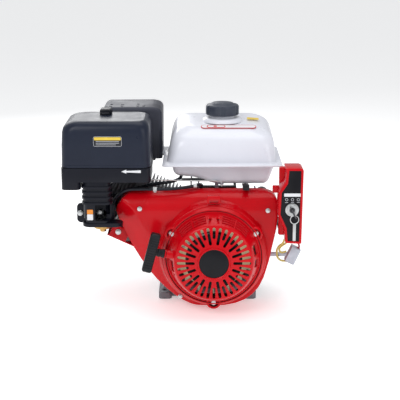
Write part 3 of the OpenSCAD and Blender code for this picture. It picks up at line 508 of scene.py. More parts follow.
def wire(name, route, radius, material, body, *stands_for, sides=4):
    """A lead, hose or bent rod: a smooth curve through its points with a round section, made a mesh."""
    clear()
    curve = bpy.data.curves.new(name, "CURVE")
    curve.dimensions = "3D"
    curve.bevel_depth = radius / 1000
    curve.bevel_resolution = sides
    curve.resolution_u = 8
    curve.use_fill_caps = True
    line = curve.splines.new("BEZIER")
    line.bezier_points.add(len(route) - 1)
    for knot, place in zip(line.bezier_points, route):
        knot.co = at(*place)
        knot.handle_left_type = knot.handle_right_type = "AUTO"
    piece = bpy.data.objects.new(name, curve)
    bpy.context.scene.collection.objects.link(piece)
    piece.select_set(True)
    bpy.context.view_layer.objects.active = piece
    bpy.ops.object.convert(target="MESH")
    piece = bpy.context.object
    paint(piece, material)
    return settle(piece, body, *stands_for, smooth=60)


def spoke(radius, angle):
    """The X and Z of a place at a radius and an angle round the crank."""
    return crank_x + radius * cos(radians(angle)), crank_z + radius * sin(radians(angle))


crank_x, crank_z = 13, 133
crank = (crank_x, 0, crank_z)
print("helpers ready")

# %% Skins and refined parts
def skinned(name, rings):
    """A grid wrapped through closed rings of places, its seam welded and both ends filled."""
    clear()
    count = len(rings[0])
    bpy.ops.mesh.primitive_grid_add(x_subdivisions=count, y_subdivisions=len(rings) - 1)
    piece = bpy.context.object
    piece.name = name
    for i, corner in enumerate(piece.data.vertices):
        row, column = divmod(i, count + 1)
        corner.co = at(*rings[row][column % count])
    edit()
    bpy.ops.mesh.select_all(action="SELECT")
    bpy.ops.mesh.remove_doubles(threshold=0.00001)
    bpy.context.tool_settings.mesh_select_mode = (False, True, False)
    bpy.ops.mesh.select_all(action="DESELECT")
    bpy.ops.mesh.select_non_manifold()
    bpy.ops.mesh.fill_holes(sides=0)
    bpy.ops.mesh.select_all(action="SELECT")
    bpy.ops.mesh.normals_make_consistent(inside=False)
    done()
    return piece


def soft_ring(x0, x1, y0, y1, radius, height, steps=9):
    """A rectangle with round corners; height is a level, or a level at the front and one at the back."""
    front, back = height if isinstance(height, tuple) else (height, height)
    places = []
    for x, y, start in ((x1 - radius, y1 - radius, 0), (x0 + radius, y1 - radius, 90),
                        (x0 + radius, y0 + radius, 180), (x1 - radius, y0 + radius, 270)):
        for i in range(steps + 1):
            turn = radians(start + 90 * i / steps)
            px, py = x + radius * cos(turn), y + radius * sin(turn)
            places.append((px, py, front + (back - front) * (py - y0) / (y1 - y0)))
    return places


def refined(node, width, *materials, angle=35, flat=2.0):
    """A CAD part's own shape: its triangles merged to whole faces, its edges broken, and a finish."""
    clear()
    piece = bpy.data.objects.new(node + "_made", nodes[node].data.copy())
    bpy.context.scene.collection.objects.link(piece)
    piece.select_set(True)
    bpy.context.view_layer.objects.active = piece
    edit()
    bpy.ops.mesh.select_all(action="SELECT")
    bpy.ops.mesh.remove_doubles(threshold=0.00002)
    bpy.ops.mesh.dissolve_limited(angle_limit=radians(flat))
    done()
    if width:
        modify(piece, "BEVEL", width=width / 1000, segments=2, limit_method="ANGLE",
               angle_limit=radians(angle), miter_outer="MITER_ARC")
    paint(piece, *materials)
    body = body_of(nodes[node])
    return settle(piece, body if isinstance(body, str) else body[0], node, smooth=38)


# %% [markdown]
# ## Fuel tank
# Two pressed shells meet at a rolled flange. The upper one is a skin through rounded rectangles that lean in
# as they rise. Each ring has its own level at the front and at the back, so the top slopes and leaves a
# shoulder along the front.

# %% Upper shell
upper = skinned("tank_upper_shell", [soft_ring(-97, 158, -92, 112, 16, 322.2),
                                     soft_ring(-93, 153.5, -89.5, 107.5, 19, 324),
                                     soft_ring(-90.5, 152, -88, 106, 22, 329),
                                     soft_ring(-87.5, 151.5, -87, 105, 25, 346),
                                     soft_ring(-84.5, 150, -85.5, 104, 28, (361, 366)),
                                     soft_ring(-81.5, 147.5, -82.5, 102, 31, (372, 380)),
                                     soft_ring(-78.5, 144, -78.5, 99.5, 33, (379.5, 390)),
                                     soft_ring(-75.5, 139.5, -73, 96.5, 34, (385, 397.5)),
                                     soft_ring(-72, 134, -67.5, 92.5, 33, (388.6, 403)),
                                     soft_ring(-68, 128, -62, 88, 31, (391.2, 406.6)),
                                     soft_ring(-62, 121, -54, 83, 28, (395, 409)),
                                     soft_ring(-55, 113, -45.5, 77, 25, (398.6, 410.2)),
                                     soft_ring(-48, 105, -38, 70, 22, (400.6, 410.6)),
                                     soft_ring(-30, 88, -22, 54, 14, (403, 410))])
print("upper shell", len(upper.data.polygons))

# %% [markdown]
# The flange is the rim where the shells are seam-welded. The lower shell hangs below it, shallow on the
# left over the cylinder and deep on the right.

# %% Flange, lower shell and neck
flange = outline("tank_flange", [(-112, -88), (-105, -95), (159, -95), (166, -88), (166, 108), (159, 115),
                                 (-94, 115), (-101, 108), (-101, -10), (-112, -22)], 0, 4)
flange.data.transform(Matrix.Translation(at(0, 0, 322.3)) @ Matrix.Rotation(radians(90), 4, "X"))
outwards()
soften(flange, 1.9, 3, 60)
lower = outline("tank_lower_shell", [(-80, 319.6), (-75, 296), (-28, 291), (-6, 284), (12, 276.5),
                                     (134, 276.5), (150, 319.6)], -83, 101)
edit()
pick("EDGE", lambda c, n: c.z < 318 and (abs(n.x) < 0.5 or abs(c.y) > 80))
bpy.ops.mesh.bevel(offset=0.011, segments=6, affect="EDGES")
done()
filler = (34, 10, 0)
neck = turned("tank_neck", [(31, 402), (31, 410.4), (29, 412), (28.5, 416), (27, 418.3), (24.6, 418.3),
                            (24.6, 400)], filler, "Z", 64)
seat = turned("tank_neck_seat", [(47, 404), (45, 409.6), (40, 412.6), (31, 413.6), (29, 413.6), (29, 402)],
              filler, "Z", 96)
for shell in (upper, flange, lower, neck, seat):
    paint(shell, white_paint)
tank = merge("tank_shells", upper, flange, lower, neck, seat)
settle(tank, "engine", "fuel_tank", smooth=50)

# %% [markdown]
# The cap is a thick moulded disc with six scallops for the fingers. A turned blank has six round
# cutters taken out of its edge, and every edge is then softened.

# %% Fuel cap
cap = turned("fuel_cap_blank", [(0, 419.3), (37, 419.3), (38, 421), (38, 438), (35.5, 441.5), (30, 442.5),
                                (26, 444.6), (24, 446), (0, 446)], filler, "Z", 144)
for i in range(6):
    angle = radians(30 + 60 * i)
    x, y = filler[0] + 47.5 * cos(angle), filler[1] + 47.5 * sin(angle)
    carve(cap, rod("scallop", 12, (x, y, 422.5), (x, y, 450), 48))
soften(cap, 1.1, 3, 40)
skirt = turned("cap_skirt", [(24, 408.3), (24, 419.4), (20, 419.4), (20, 408.3), (24, 408.3)], filler, "Z",
               48)
cap = merge("fuel_cap_moulding", cap, skirt)
cap_plastic = finish("cap_plastic", (0.030, 0.037, 0.056), (0.044, 0.053, 0.075), (0.34, 0.48), depth=0.00006,
                     scale=900, coarse=70, patch=30)
paint(cap, cap_plastic)
settle(cap, "cap", "fuel_cap", smooth=35)

# %% [markdown]
# The labels carry no words. Each is a thin sheet with round corners, sunk a little into the paint: a red
# band with an oval at its left, and a small yellow one behind it.

# %% Tank labels
def printed(name, dark, light, rough=(0.3, 0.42)):
    """The finish of printed film: smooth, with hardly any grain."""
    return finish(name, dark, light, rough, depth=0.00001, patch=40)


label_red = printed("label_red", (0.55, 0.015, 0.02), (0.62, 0.02, 0.025))
label_yellow = printed("label_yellow", (0.72, 0.50, 0.05), (0.80, 0.58, 0.08))
label_white = printed("label_white", (0.72, 0.73, 0.76), (0.78, 0.79, 0.82))


def sticker(name, middle, size, radius, material, lean=(90, 0, 0), thick=0.5):
    """A thin sheet with round corners, lying on a surface that leans by the given angles."""
    w, h = size[0] / 2, size[1] / 2
    edge = soft_ring(-w, w, -h, h, radius, 0, 6)
    sheet = skinned(name, [[(x, z, level) for x, z, _ in edge] for level in (-thick, 0)])
    turn = Matrix.Rotation(radians(lean[2]), 4, "Z") @ Matrix.Rotation(radians(lean[0]), 4, "X")
    sheet.data.transform(Matrix.Translation(at(*middle)) @ turn @ Matrix.Rotation(radians(lean[1]), 4, "Y"))
    paint(sheet, material)
    return sheet


for name, middle, size, radius, material, lean in (
        ("band_rim", (47, -44.5, 400.6), (124, 15), 7.4, label_red, (17, 0, 0)),
        ("band_face", (47, -44.5, 400.8), (121, 12), 5.9, label_white, (17, 0, 0)),
        ("band_oval", (19, -44.5, 401.0), (42, 12), 5.9, label_red, (17, 0, 0)),
        ("oval_face", (19, -44.5, 401.2), (38, 9), 4.4, label_white, (17, 0, 0)),
        ("oval_dot", (17, -44.5, 401.4), (8, 5), 2.4, label_red, (17, 0, 0)),
        ("rear_label", (104, 10, 409.4), (27, 14), 2, label_yellow, (4, 4, 0))):
    settle(sticker("tank_" + name, middle, size, radius, material, lean=lean, thick=1.2), "engine")

# %% [markdown]
# ## Fan cover
# One deep pressing guides the air from the fan to the cylinder. Its outline is drawn from the front and its
# top leans back, so it is what two extruded outlines share. A cut along the lower left leaves the slanted
# face there. A remesh and a few passes of smoothing give the soft edges that a press leaves in sheet steel,
# and the round seat of the recoil starter is welded on after them, so that it stays crisp.

# %% Fan cover outline
cover_edge = [(-205, 224), (-197, 197), (-186, 172), (-170, 139), (-152, 108), (-133, 80), (-114, 58),
              (-94, 40), (-74, 26), (-56, 17), (-38, 12), (-12, 10), (36, 10), (62, 15), (84, 24), (101, 37),
              (115, 54), (125, 75), (132, 98), (138, 120), (142, 142), (147, 165), (152, 190), (155, 218),
              (155, 246), (151, 258), (143, 266), (132, 270), (118, 272), (-60, 272), (-158, 272),
              (-174, 269), (-189, 256), (-201, 238)]


def shrunk(corners, amount):
    """The same outline, moved in by amount millimetres."""
    result = []
    for i, here in enumerate(corners):
        before, after = Vector(corners[i - 1]), Vector(corners[(i + 1) % len(corners)])
        here = Vector(here)
        a, b = (here - before).normalized(), (after - here).normalized()
        push = Vector((-a.y - b.y, a.x + b.x)) / (1 + a.dot(b))
        result.append(tuple(here + push * amount))
    return result


def side_shape(name, front, top, back, lean, x0=-260, x1=220):
    """A block whose top front edge is a wide round, lean millimetres deep and tall."""
    steps = 10
    corners = [(back, -20), (front, -20)]
    for i in range(steps + 1):
        turn = pi / 2 * i / steps
        corners.append((front + lean * (1 - cos(turn)), top - lean * 1.15 * (1 - sin(turn))))
    corners.append((back, top))
    piece = outline(name, corners, x0, x1)
    piece.data.transform(Matrix.Rotation(radians(90), 4, "Z") @ Matrix.Scale(-1, 4, (0, 1, 0)))
    outwards()
    return piece


# %% Pressing
def paint_inner_shade(piece, shaded):
    """Gives the faces that pass the test a near-black painted shade, so that the insides seen through the
    slots look dark. The test is given the face, how far from the crank's axis it is, and whether it looks in
    towards that axis."""
    piece.data.materials.append(inner_painted_shade)
    for face in piece.data.polygons:
        out = Vector((face.center.x, 0, face.center.z)) - at(*crank)
        if shaded(face, out.length, face.normal.dot(out.normalized()) < -0.5):
            face.material_index = len(piece.data.materials) - 1


def slanted(piece, inset):
    """Cuts the lower left corner off the pressing, inset millimetres inside it."""
    clear()
    bpy.context.view_layer.objects.active = piece
    piece.select_set(True)
    edit()
    bpy.ops.mesh.select_all(action="SELECT")
    way = Vector((-8850, -12996, -5400)).normalized()
    bpy.ops.mesh.bisect(plane_co=at(-152, -145, 215) - way * inset / 1000, plane_no=way, use_fill=True,
                        clear_outer=True)
    done()


pressing = outline("fan_cover_pressing", cover_edge, -145, -70)
carve(pressing, side_shape("cover_side", -145, 272, -60, 40), how="INTERSECT")
slanted(pressing, 0)
modify(pressing, "REMESH", mode="VOXEL", voxel_size=0.0022)
modify(pressing, "SMOOTH", factor=0.5, iterations=10)
inside = outline("cover_hollow", shrunk(cover_edge, 3.5), -141.5, -60)
carve(inside, side_shape("cover_hollow_side", -141.5, 268.5, -50, 40), how="INTERSECT")
slanted(inside, 3.5)
carve(pressing, inside)
ring_form = turned("recoil_seat", [(105, -125), (105, -162.6), (113.4, -162.6), (115, -161.4), (116, -158),
                                   (118, -149), (120, -144.4), (123, -141), (123, -125), (105, -125)], crank,
                   sides=144)
carve(pressing, turned("recoil_mouth", [(0, -180), (110, -180), (110, -120), (0, -120)], crank, sides=144))
carve(pressing, block("left_relief", (-230, -100, 0), (-118, -50, 300)))
carve(pressing, block("top_relief", (-230, -100, 233), (170, -50, 300)))
paint(ring_form, red_paint)
paint(pressing, red_paint)
pressing = merge("fan_cover_pressing", pressing, ring_form)
# The inward faces of the recoil seat get painted shade.
paint_inner_shade(pressing, lambda face, out, inward: inward and out < 0.1115 and face.center.y < -0.12)
settle(pressing, "engine", "fan_cover", smooth=40)

# %% [markdown]
# ## Recoil starter housing
# A spun and punched steel dome. The dome comes off the lathe helper as one closed wall. Radial slots are
# punched through its face, louvres through its upper slope, and larger windows through its sides.

# %% Dome
dome = turned("recoil_dome", [(0.0, -217.4), (33, -217.4), (34.5, -218), (37, -218), (39, -217), (78, -216.2),
                              (81.5, -215.2), (84.5, -213), (86.5, -210), (99.5, -178), (100.6, -173.5),
                              (102, -171.6), (104.4, -171.2), (106, -172.6), (108.4, -172.6), (110, -170.6),
                              (111.4, -167.4), (113, -165.8), (113, -163.2), (111, -162.8), (104, -163.4),
                              (97.6, -169), (96, -174), (84, -207), (82, -210.5), (79, -212.8), (76, -213.8),
                              (0.0, -214.4)], crank, sides=144)
cutters = []
for i in range(36):
    inner = 41.5 if i % 2 == 0 else 55
    slot = block("slot", (crank_x + inner, -222, crank_z - 3.2), (crank_x + 80.5, -208, crank_z + 3.2))
    soften(slot, 2.9, 3, 60)
    around(slot, 10 * i, crank)
    cutters.append(slot)
for middle, wide in ((131, 10.5), (110, 8.8), (70, 8.8), (49, 10.5)):
    for level in range(4):
        near = -206 + 7.3 * level
        far = near + 5.2
        louvre = turned("louvre", [(80, near), (112, near), (112, far), (80, far), (80, near)], crank,
                        sides=144)
        sector = [spoke(150, middle + wide * share) for share in (-1, -0.5, 0, 0.5, 1)]
        wedge = outline("wedge", [(crank_x, crank_z)] + sector, -230, -160)
        carve(louvre, wedge, how="INTERSECT")
        cutters.append(louvre)
for middle, wide in ((14.5, 12), (-4, 9), (187.5, 13)):
    window = block("window", (crank_x + 78, -202, crank_z - wide), (crank_x + 112, -183, crank_z + wide))
    soften(window, 3, 2, 60)
    around(window, middle, crank)
    cutters.append(window)
for middle in (200.5, 338):
    (x0, z0), (x1, z1) = spoke(78, middle), spoke(112, middle)
    cutters.append(rod("drain", 2.6, (x0, -190, z0), (x1, -190, z1), 24))
punches = merge("punches", *cutters)
modify(dome, "BOOLEAN", operation="DIFFERENCE", object=punches, solver="EXACT", use_self=True)
bpy.data.objects.remove(punches)
modify(dome, "BEVEL", width=0.0004, segments=2, limit_method="ANGLE", angle_limit=radians(60))
print("dome", len(dome.data.polygons))

# %% [markdown]
# At the top a raised chevron marks the middle between the louvres, and a tab with a slot stands behind it on
# the cover. Three dished seats take the bolts, and a short tube guides the rope.

# %% Chevron, seats and rope guide
parts = [dome]
for side in (-1, 1):
    arm = block("chevron_arm", (crank_x - 2.2, -206, crank_z + 91), (crank_x + 2.2, -180, crank_z + 95.5))
    soften(arm, 1.2, 3, 40)
    tilt = Matrix.Rotation(radians(24 * side), 4, "Z") @ Matrix.Rotation(radians(-24), 4, "X")
    arm.data.transform(Matrix.Translation(at(crank_x + 7 * side, -193, 228)) @ tilt
                       @ Matrix.Translation(-at(crank_x, -193, 228)))
    parts.append(arm)
for middle in (30, 150, 270):
    bolt_seat = turned("bolt_seat", [(4, -167.4), (9.5, -167.4), (12, -171.6), (14.5, -172.4), (17, -170),
                                     (17.5, -163.3), (4, -163.3), (4, -167.4)], (crank_x + 104, 0, crank_z),
                       sides=40)
    around(bolt_seat, middle, crank)
    parts.append(bolt_seat)
guide = turned("rope_guide", [(3.6, -14), (9, -14), (9, 2), (10, 3), (10, 5), (8.5, 6), (5.2, 6), (3.6, 4.5),
                              (3.6, -14)], (0, 0, 0), "Z", 40)
rope_lean = Matrix.Rotation(radians(-80), 4, "Y")
guide.data.transform(Matrix.Translation(at(-88, -194, 147.4)) @ rope_lean)
parts.append(guide)
for part in parts:
    paint(part, red_paint)
housing = merge("recoil_housing_shell", *parts)
# The back and inner faces of the dome get painted shade.
paint_inner_shade(housing, lambda face, out, inward: face.center.y > -0.216
      and (face.normal.y > 0.7 or (inward and out > 0.075)))
settle(housing, "engine", "recoil_housing", smooth=38)
tab = block("cover_tab", (-2, -166, 252), (28, -155, 270))
soften(tab, 3, 3, 40)
carve(tab, block("tab_slot", (3, -170, 255), (23, -150, 261)))
paint(tab, red_paint)
settle(tab, "engine")

# %% Hub label
hub = turned("hub_label_disc", [(0, -219.8), (31, -219.8), (32, -219.3), (32, -218.02), (0, -218.02)], crank,
             sides=96)
rim = turned("hub_rim", [(32.3, -218), (32.3, -220.3), (33.6, -221), (35.4, -220.4), (36.4, -218),
                         (32.3, -218)], crank)
paint(hub, clean_label)
paint(rim, red_paint)
settle(hub, "engine", "hub_label")
settle(rim, "engine")

# %% [markdown]
# ## Starter handle
# A black moulded T-bar with a ribbed grip, a short stem and a collar that rests on the rope guide.

# %% Handle
bar = block("starter_handle_bar", (-134, -207, 107), (-112, -185.5, 196))
soften(bar, 5, 4, 60)
ribs = [bar]
for i in range(13):
    rib = block("grip_rib", (-133.4, -207.7, 116 + 5.6 * i), (-112.6, -206.2, 118.6 + 5.6 * i))
    soften(rib, 0.6, 2, 60)
    ribs.append(rib)
bar = merge("starter_handle_bar", *ribs)
around(bar, -15, (-123, 0, 151.5))
stem = turned("handle_stem", [(3, 0), (8.5, 0), (9.3, 1), (9.3, 7), (8.2, 8), (8.2, 10), (9.3, 11), (9.3, 14),
                              (8, 15.5), (8.5, 20), (10.5, 30), (3, 30)], (0, 0, 0), "Z", 48)
stem.data.transform(Matrix.Translation(at(-93.8, -194.5, 148.4)) @ rope_lean)
handle = merge("starter_handle_moulding", bar, stem)
paint(handle, grip_plastic)
settle(handle, "handle", "starter_handle", smooth=40)

# %% [markdown]
# ## Air cleaner
# The lid is a black moulding like a pillow: its sides stand nearly straight, then rings drawn in towards the
# top leave a wide soft border round a flat panel. It rides on its own body, because it lifts off.

# %% Air cleaner lid
lid_middle = (-221, -90, 0)
lid = skinned("air_cleaner_lid", [
    soft_ring(-316, -126, -163, -17, 17, 331.2), soft_ring(-318, -124, -165, -15, 19, 332.4),
    soft_ring(-318, -124, -165, -15, 20, 338), soft_ring(-317.5, -124.5, -164.6, -15.4, 22, 380),
    soft_ring(-316, -125.5, -163.8, -16, 24, 408), soft_ring(-313.5, -126.5, -162.6, -17, 26, 417),
    soft_ring(-308, -129, -159.5, -19.5, 27, 424.5), soft_ring(-301, -132, -155, -23, 27, 429),
    soft_ring(-294, -136, -149, -27, 26, 431.2), soft_ring(-288, -140, -143.5, -31, 24, 431.7),
    soft_ring(-285, -143, -141, -34, 23, 430.9), soft_ring(-280, -147, -137, -38, 21, 431)])
paint(lid, cover_plastic)
lip = skinned("lid_lip", [
    soft_ring(-318, -124, -165, -15, 20, 334.5), soft_ring(-319, -123, -165.9, -14.2, 20.5, 335.2),
    soft_ring(-319, -123, -165.9, -14.2, 20.5, 337.6), soft_ring(-318, -124, -165, -15, 20, 338.4)])
stretch(lip, lid_middle, 0.9955, 0.9955)
paint(lip, cover_plastic)
lid = merge("air_cleaner_lid", lid, lip)
stretch(lid, lid_middle, 0.9935, 0.9945)
settle(lid, "cleaner_lid", "air_cleaner_cover", smooth=45)
latch = block("lid_latch", (-240, -66, 428), (-214, -34, 443))
soften(latch, 4, 4, 50)
clip = block("latch_hook", (-236, -74, 429), (-218, -62, 437))
soften(clip, 2.5, 3, 50)
latch = merge("lid_latch", latch, clip)
paint(latch, base_plastic)
settle(latch, "cleaner_lid")

# %% [markdown]
# The labels are generic: a framed one with a yellow band and a few pale lines, and a white arrow on the base.

# %% Air cleaner labels
label_blank = printed("label_blank", (0.012, 0.014, 0.020), (0.018, 0.020, 0.028))
label_pale = printed("label_pale", (0.42, 0.43, 0.46), (0.5, 0.51, 0.54), (0.35, 0.45))
settle(sticker("lid_label_rim", (-215.5, -165.0, 390.5), (61, 22), 4, label_pale), "cleaner_lid")
settle(sticker("lid_label_face", (-215.5, -165.2, 390.5), (59.4, 20.4), 3.3, label_blank), "cleaner_lid")
settle(sticker("lid_label_band", (-215.5, -165.4, 396.6), (57.4, 6.6), 2, label_yellow), "cleaner_lid")
for i, (x, wide) in enumerate(((-215.5, 50), (-215.5, 50), (-219, 43))):
    line = sticker("lid_label_line_%d" % i, (x, -165.4, 390.6 - 3.6 * i), (wide, 1.1), 0.5, label_pale)
    settle(line, "cleaner_lid")
arrow = outline("base_arrow", [(-187, 324.5), (-176, 329), (-176, 326.2), (-145, 327.5), (-145, 321.5),
                               (-176, 322.8), (-176, 320)], -165.5, -164.2)
paint(arrow, label_white)
settle(arrow, "engine")
refined("air_cleaner_base", 2.2, base_plastic)
# The filter shares the nylon finish and its faint painted glow.
refined("air_filter", 0, fan_nylon_glowing)

# %% [markdown]
# ## Intake and carburetor
# The elbow is a ribbed black moulding. The carburetor is a diecasting with a passivated float bowl under it.

# %% Intake parts
bowl_finish = finish("bowl_yellow", (0.46, 0.27, 0.08), (0.62, 0.40, 0.15), (0.24, 0.4), metal=0.85,
                     depth=0.00003, scale=500, coarse=90, patch=28, speck=(0.8, 0.66, 0.4))
elbow = refined("intake_elbow", 1.6, base_plastic)
notch = block("elbow_notch", (-246, -172, 212), (-200, -140, 250))
soften(notch, 4, 3, 50)
carve(elbow, notch)
elbow_foot = skinned("elbow_foot", [
    soft_ring(-274, -188, -161, -125, 17, 198.2), soft_ring(-275, -187, -162, -124, 18, 199.2),
    soft_ring(-275, -187, -162, -124, 18, 205.5), soft_ring(-273.5, -188.5, -160.5, -125.5, 17, 207)])
paint(elbow_foot, base_plastic)
settle(elbow_foot, "engine")
label_orange = printed("label_orange", (0.75, 0.24, 0.03), (0.82, 0.30, 0.05))
settle(sticker("elbow_label_low", (-257, -164.3, 222), (13, 13), 1.2, label_white), "engine")
settle(sticker("elbow_label_high", (-257, -164.4, 234), (13, 10), 1.2, label_orange), "engine")
for name, width, material in (("carburetor", 0.8, cast_aluminium), ("float_bowl", 1.2, bowl_finish),
                              ("intake_spacer", 0.6, grip_plastic), ("choke_lever", 0.4, bowl_finish),
                              ("fuel_valve_lever", 0.6, base_plastic),
                              ("carb_throttle_arm", 0.3, zinc_steel)):
    refined(name, width, material)

# %% [markdown]
# ## Muffler and its cover
# The cover is a folded sheet box in grey heat paint. Its left end slopes, its corners are round, and a row
# of holes lets the heat out of its top.

# %% Muffler cover
shield = outline("muffler_cover_pressing", [(-256, 318), (-256, 404), (-247, 416), (-236, 436.5),
                                            (-120, 437.5), (-104, 430), (-104, 318)], -5, 118)
edit()
pick("EDGE", lambda c, n: c.z > 330)
bpy.ops.mesh.bevel(offset=0.009, segments=5, affect="EDGES")
pick("FACE", lambda c, n: n.z < -0.9)
bpy.ops.mesh.delete(type="FACE")
done()
modify(shield, "SOLIDIFY", thickness=0.0016, offset=-1)
holes = []
for x, y in ((-232, 12), (-222, 12), (-196, 14), (-196, 34), (-160, 12), (-146, 12), (-222, 40), (-160, 40)):
    holes.append(rod("heat_hole", 4.2, (x, y, 425), (x, y, 450), 24))
for x in (-232, -210, -188, -166, -144):
    holes.append(rod("heat_hole", 3.4, (x, 130, 360), (x, 100, 360), 24))
    holes.append(rod("heat_hole", 3.4, (x, 130, 384), (x, 100, 384), 24))
carve(shield, merge("holes", *holes))
carve(shield, rod("outlet_mouth", 17, (-130, 130, 392), (-130, 100, 392), 48))
leg = block("shield_leg", (-240, 4, 311.5), (-120, 108, 319))
soften(leg, 2, 3, 40)
shield = merge("muffler_cover_pressing", shield, leg)
paint(shield, heat_paint)
settle(shield, "engine", "muffler_cover", smooth=40)
refined("muffler", 3, grey_iron)

# %% [markdown]
# ## Switch box
# A red pressed box with a rolled rim round a black panel. A recess is cut in its front for the panel,
# and the panel carries a plain white strip, three symbols and the key switch.

# %% Box and panel
box_edge = [(203.5, 336), (198, 340), (164, 340), (167, 332), (165, 308), (152, 288), (150, 237), (164, 206),
            (167, 174), (202, 172)]
box = outline("switch_box_pressing", box_edge, -202, -148)
outwards()
soften(box, 3.2, 4, 20)
carve(box, outline("panel_recess", shrunk(box_edge, 5.2), -204, -199.8))
bracket = block("box_bracket", (141, -149, 273), (166, -146, 290))
foot = block("box_foot", (155.4, -135, 224), (158, -104, 250))
rear = block("box_rear", (155.4, -148, 176), (200, -132, 330))
soften(rear, 4, 3, 50)
soften(bracket, 1, 2, 50)
soften(foot, 1, 2, 50)
box = merge("switch_box_pressing", box, bracket, foot, rear)
paint(box, red_paint)
settle(box, "engine", "switch_box", smooth=40)
panel = outline("switch_panel_plate", shrunk(box_edge, 5.6), -201.3, -199.5)
soften(panel, 0.4, 2, 50)
key_place = (180, 0, 249)
barrel = turned("key_barrel", [(6, -206), (11, -206), (12, -205), (12, -200), (6, -200), (6, -206)],
                key_place, sides=64)
nut = turned("key_nut", [(12, -203.6), (14.2, -203.2), (14.6, -202), (14.6, -200), (12, -200), (12, -203.6)],
             key_place, sides=64)
paint(panel, clean_label)
settle(panel, "engine", "switch_panel")
barrel = merge("key_barrel", barrel, nut)
paint(barrel, zinc_steel)
settle(barrel, "engine")
settle(sticker("panel_strip", (180.5, -201.7, 281.6), (36, 7), 1, label_white), "engine")
for i, x in enumerate((168, 180.5, 193)):
    mark = turned("panel_mark", [(2.2, -201.6), (3.2, -201.6), (3.2, -201.1), (2.2, -201.1), (2.2, -201.6)],
                  (x, 0, 271.5), sides=24)
    bar = block("panel_mark_bar", (x - 3.2, -201.6, 264.6 + 0.2 * i), (x + 3.2, -201.1, 265.8 + 0.2 * i))
    mark = merge("panel_mark_%d" % i, mark, bar)
    paint(mark, label_pale)
    settle(mark, "engine")
key_steel = finish("key_steel", (0.06, 0.062, 0.068), (0.10, 0.102, 0.11), (0.25, 0.4), metal=0.8,
                   depth=0.00002, patch=60)
refined("ignition_key", 0.5, key_steel)
clear()
bpy.ops.mesh.primitive_torus_add(major_radius=0.009, minor_radius=0.0009, major_segments=48,
                                 minor_segments=10, location=at(183.5, -226, 233.9), rotation=(pi / 2, 0, 0))
ring = bpy.context.object
tag = block("ring_tag", (180.3, -226.8, 187), (186.7, -225.2, 225.2))
soften(tag, 0.6, 2, 50)
ring = merge("key_ring_and_tag", ring, tag)
paint(ring, zinc_steel)
settle(ring, "key_tag", "key_ring")

# %% [markdown]
# ## Leads, hose, rods and rope
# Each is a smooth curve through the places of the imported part, with a round section, made a mesh.

# %% Leads and rods
wire("ignition_cable", [(-56, -91, 243), (-44, -91, 250), (-28, -92, 260), (-15, -93, 273), (-16, -105, 281),
                        (-36, -122, 281), (-76, -132, 278), (-116, -136, 278), (-150, -136, 278),
                        (-178, -132, 275), (-194, -126, 265), (-204, -116, 252), (-208, -106, 240),
                        (-206, -96, 224), (-197, -90, 207), (-195, -86, 196)], 3.5, black_rubber, "engine",
     "ignition_lead")
wire("fuel_line", [(-60, -60, 296), (-60, -66, 290), (-72, -78, 284), (-120, -80, 276), (-170, -76, 262),
                   (-206, -70, 248), (-222, -76, 246), (-226, -96, 246), (-226, -106, 243)], 3.6,
     black_rubber, "engine", "fuel_hose")
wire("governor_rod_bent", [(-225, -111.05, 250), (-225, -111.05, 262), (-225, -111.05, 274),
                           (-211, -111.05, 288), (-181, -111.05, 292), (-29, -111.05, 291),
                           (19, -111.05, 290), (30, -111.05, 288), (31, -111.05, 284), (31, -111.05, 279)],
     1.5, zinc_steel, "governor_link", "governor_rod")
yellow_lead = finish("yellow_lead", (0.50, 0.40, 0.10), (0.62, 0.50, 0.15), (0.35, 0.5), depth=0.00003,
                     patch=30)
crimson_lead = finish("crimson_lead", (0.30, 0.012, 0.03), (0.38, 0.018, 0.04), (0.35, 0.5), depth=0.00003,
                      patch=30)
wire("charge_lead_a", [(176, -150, 171), (173, -146, 158), (166, -138, 150), (160, -132, 140),
                       (164, -128, 131), (176, -128, 133)], 2.2, yellow_lead, "engine", "wiring")
wire("charge_lead_b", [(170, -154, 172), (166, -152, 160), (158, -144, 150), (154, -136, 136),
                       (162, -124, 112), (178, -122, 108)], 2.2, yellow_lead, "engine")
wire("battery_lead", [(190, -142, 171), (196, -140, 160), (203, -132, 150), (203, -126, 140),
                      (200, -122, 140)], 2, crimson_lead, "engine")
wire("starter_cable", [(160, -134, 200), (159, -128, 190), (159, -98, 186), (158, -66, 194), (146, -40, 212),
                       (130, -14, 222)], 3, black_rubber, "engine")
rope_fibre = finish("rope_fibre", (0.62, 0.60, 0.54), (0.76, 0.74, 0.68), (0.6, 0.8), depth=0.0005,
                    scale=1400, coarse=500, share=0.5, patch=90)
wire("rope_inside", [(4, -194, 192.4), (-20, -194, 187), (-50, -194, 166), (-70, -194, 150.5),
                     (-80, -194, 146.3), (-88, -194, 147.4)], 2.4, rope_fibre, "engine", "starter_rope")
for name, place in (("lead_clip_left", (-116, -136, 278)), ("lead_clip_right", (-28, -118, 281))):
    clip = turned(name, [(4.4, -4), (5.2, -4), (5.2, 4), (4.4, 4), (4.4, -4)], (0, 0, 0), "X", 32)
    clip.data.transform(Matrix.Translation(at(*place)))
    paint(clip, zinc_steel)
    settle(clip, "engine")

# %% [markdown]
# The rope's run from the guide to the handle grows as the handle is pulled, so it bends between the two
# bodies: its end in the guide stays, and its end in the stem goes with the handle.

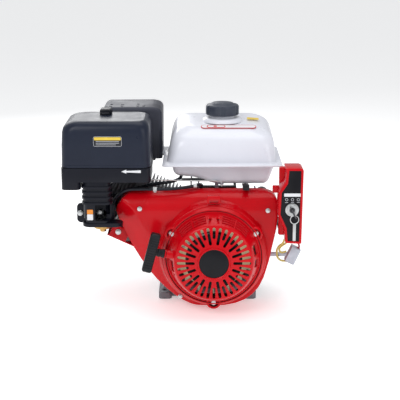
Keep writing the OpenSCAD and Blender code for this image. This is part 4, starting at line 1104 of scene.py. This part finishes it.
# %% Rope run
rope = rod("rope_run", 2.3, (-88.6, -194, 147.5), (-104, -194, 150.2), 20)
edit()
bpy.ops.mesh.select_all(action="SELECT")
bpy.ops.mesh.subdivide(number_cuts=3)
done()
clear()
paint(rope, rope_fibre)
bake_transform(rope, "engine", "handle", start=tuple(at(-90, -194, 147.8)), end=tuple(at(-102, -194, 149.8)))

# %% [markdown]
# ## Castings, machined parts and fasteners
# What is left keeps its CAD shape with broken edges. Cast parts have a coarse grain, turned parts a fine
# one, and bolts are zinc plated.

# %% Castings
plate_finish = finish("plate_steel", (0.20, 0.19, 0.23), (0.29, 0.28, 0.33), (0.34, 0.5), metal=0.6,
                      depth=0.00004, patch=24)
regulator_finish = finish("regulator_silver", (0.40, 0.42, 0.48), (0.55, 0.57, 0.63), (0.35, 0.5), metal=0.6,
                          depth=0.0001, scale=500, coarse=100, patch=30)
for name, width, material in (("crankcase", 1.2, case_casting), ("side_cover", 1.6, case_casting),
                              ("cylinder_head", 1.0, case_casting), ("head_cover", 3, cast_aluminium),
                              ("lower_shroud", 0.8, red_paint), ("tank_bracket", 0.8, grip_plastic),
                              ("control_base", 0.5, plate_finish), ("throttle_lever", 0.5, grip_plastic),
                              ("governor_arm", 0.4, plate_finish), ("dipstick", 1.0, grip_plastic),
                              ("regulator", 1.2, regulator_finish), ("starter_motor", 1.5, grip_plastic),
                              ("ignition_coil", 0.8, grip_plastic), ("spark_plug", 0.3, zinc_steel),
                              ("case_bolts", 0.35, zinc_steel), ("cover_bolts", 0.35, zinc_steel)):
    refined(name, width, material)

# %% Inner parts
for name, material in (("bearings_and_seals", turned_steel), ("cylinder_sleeve", grey_iron),
                       ("piston", cast_aluminium), ("piston_pin_and_rings", turned_steel),
                       ("connecting_rod", cast_aluminium), ("valve_set", turned_steel),
                       ("valve_gear", turned_steel), ("crankshaft", turned_steel), ("flywheel", grey_iron),
                       ("cooling_fan", fan_nylon_glowing), ("starter_cup", heat_paint),
                       ("rod_big_end", cast_aluminium), ("camshaft", grey_iron),
                       ("balancer_shaft", grey_iron), ("recoil_reel", grip_plastic),
                       ("starter_pinion", turned_steel), ("governor_gear", grip_plastic)):
    paint(nodes[name], material)
print("left as they are:", [name for name, node in nodes.items() if not node.data.materials])

# %% End
print("end")
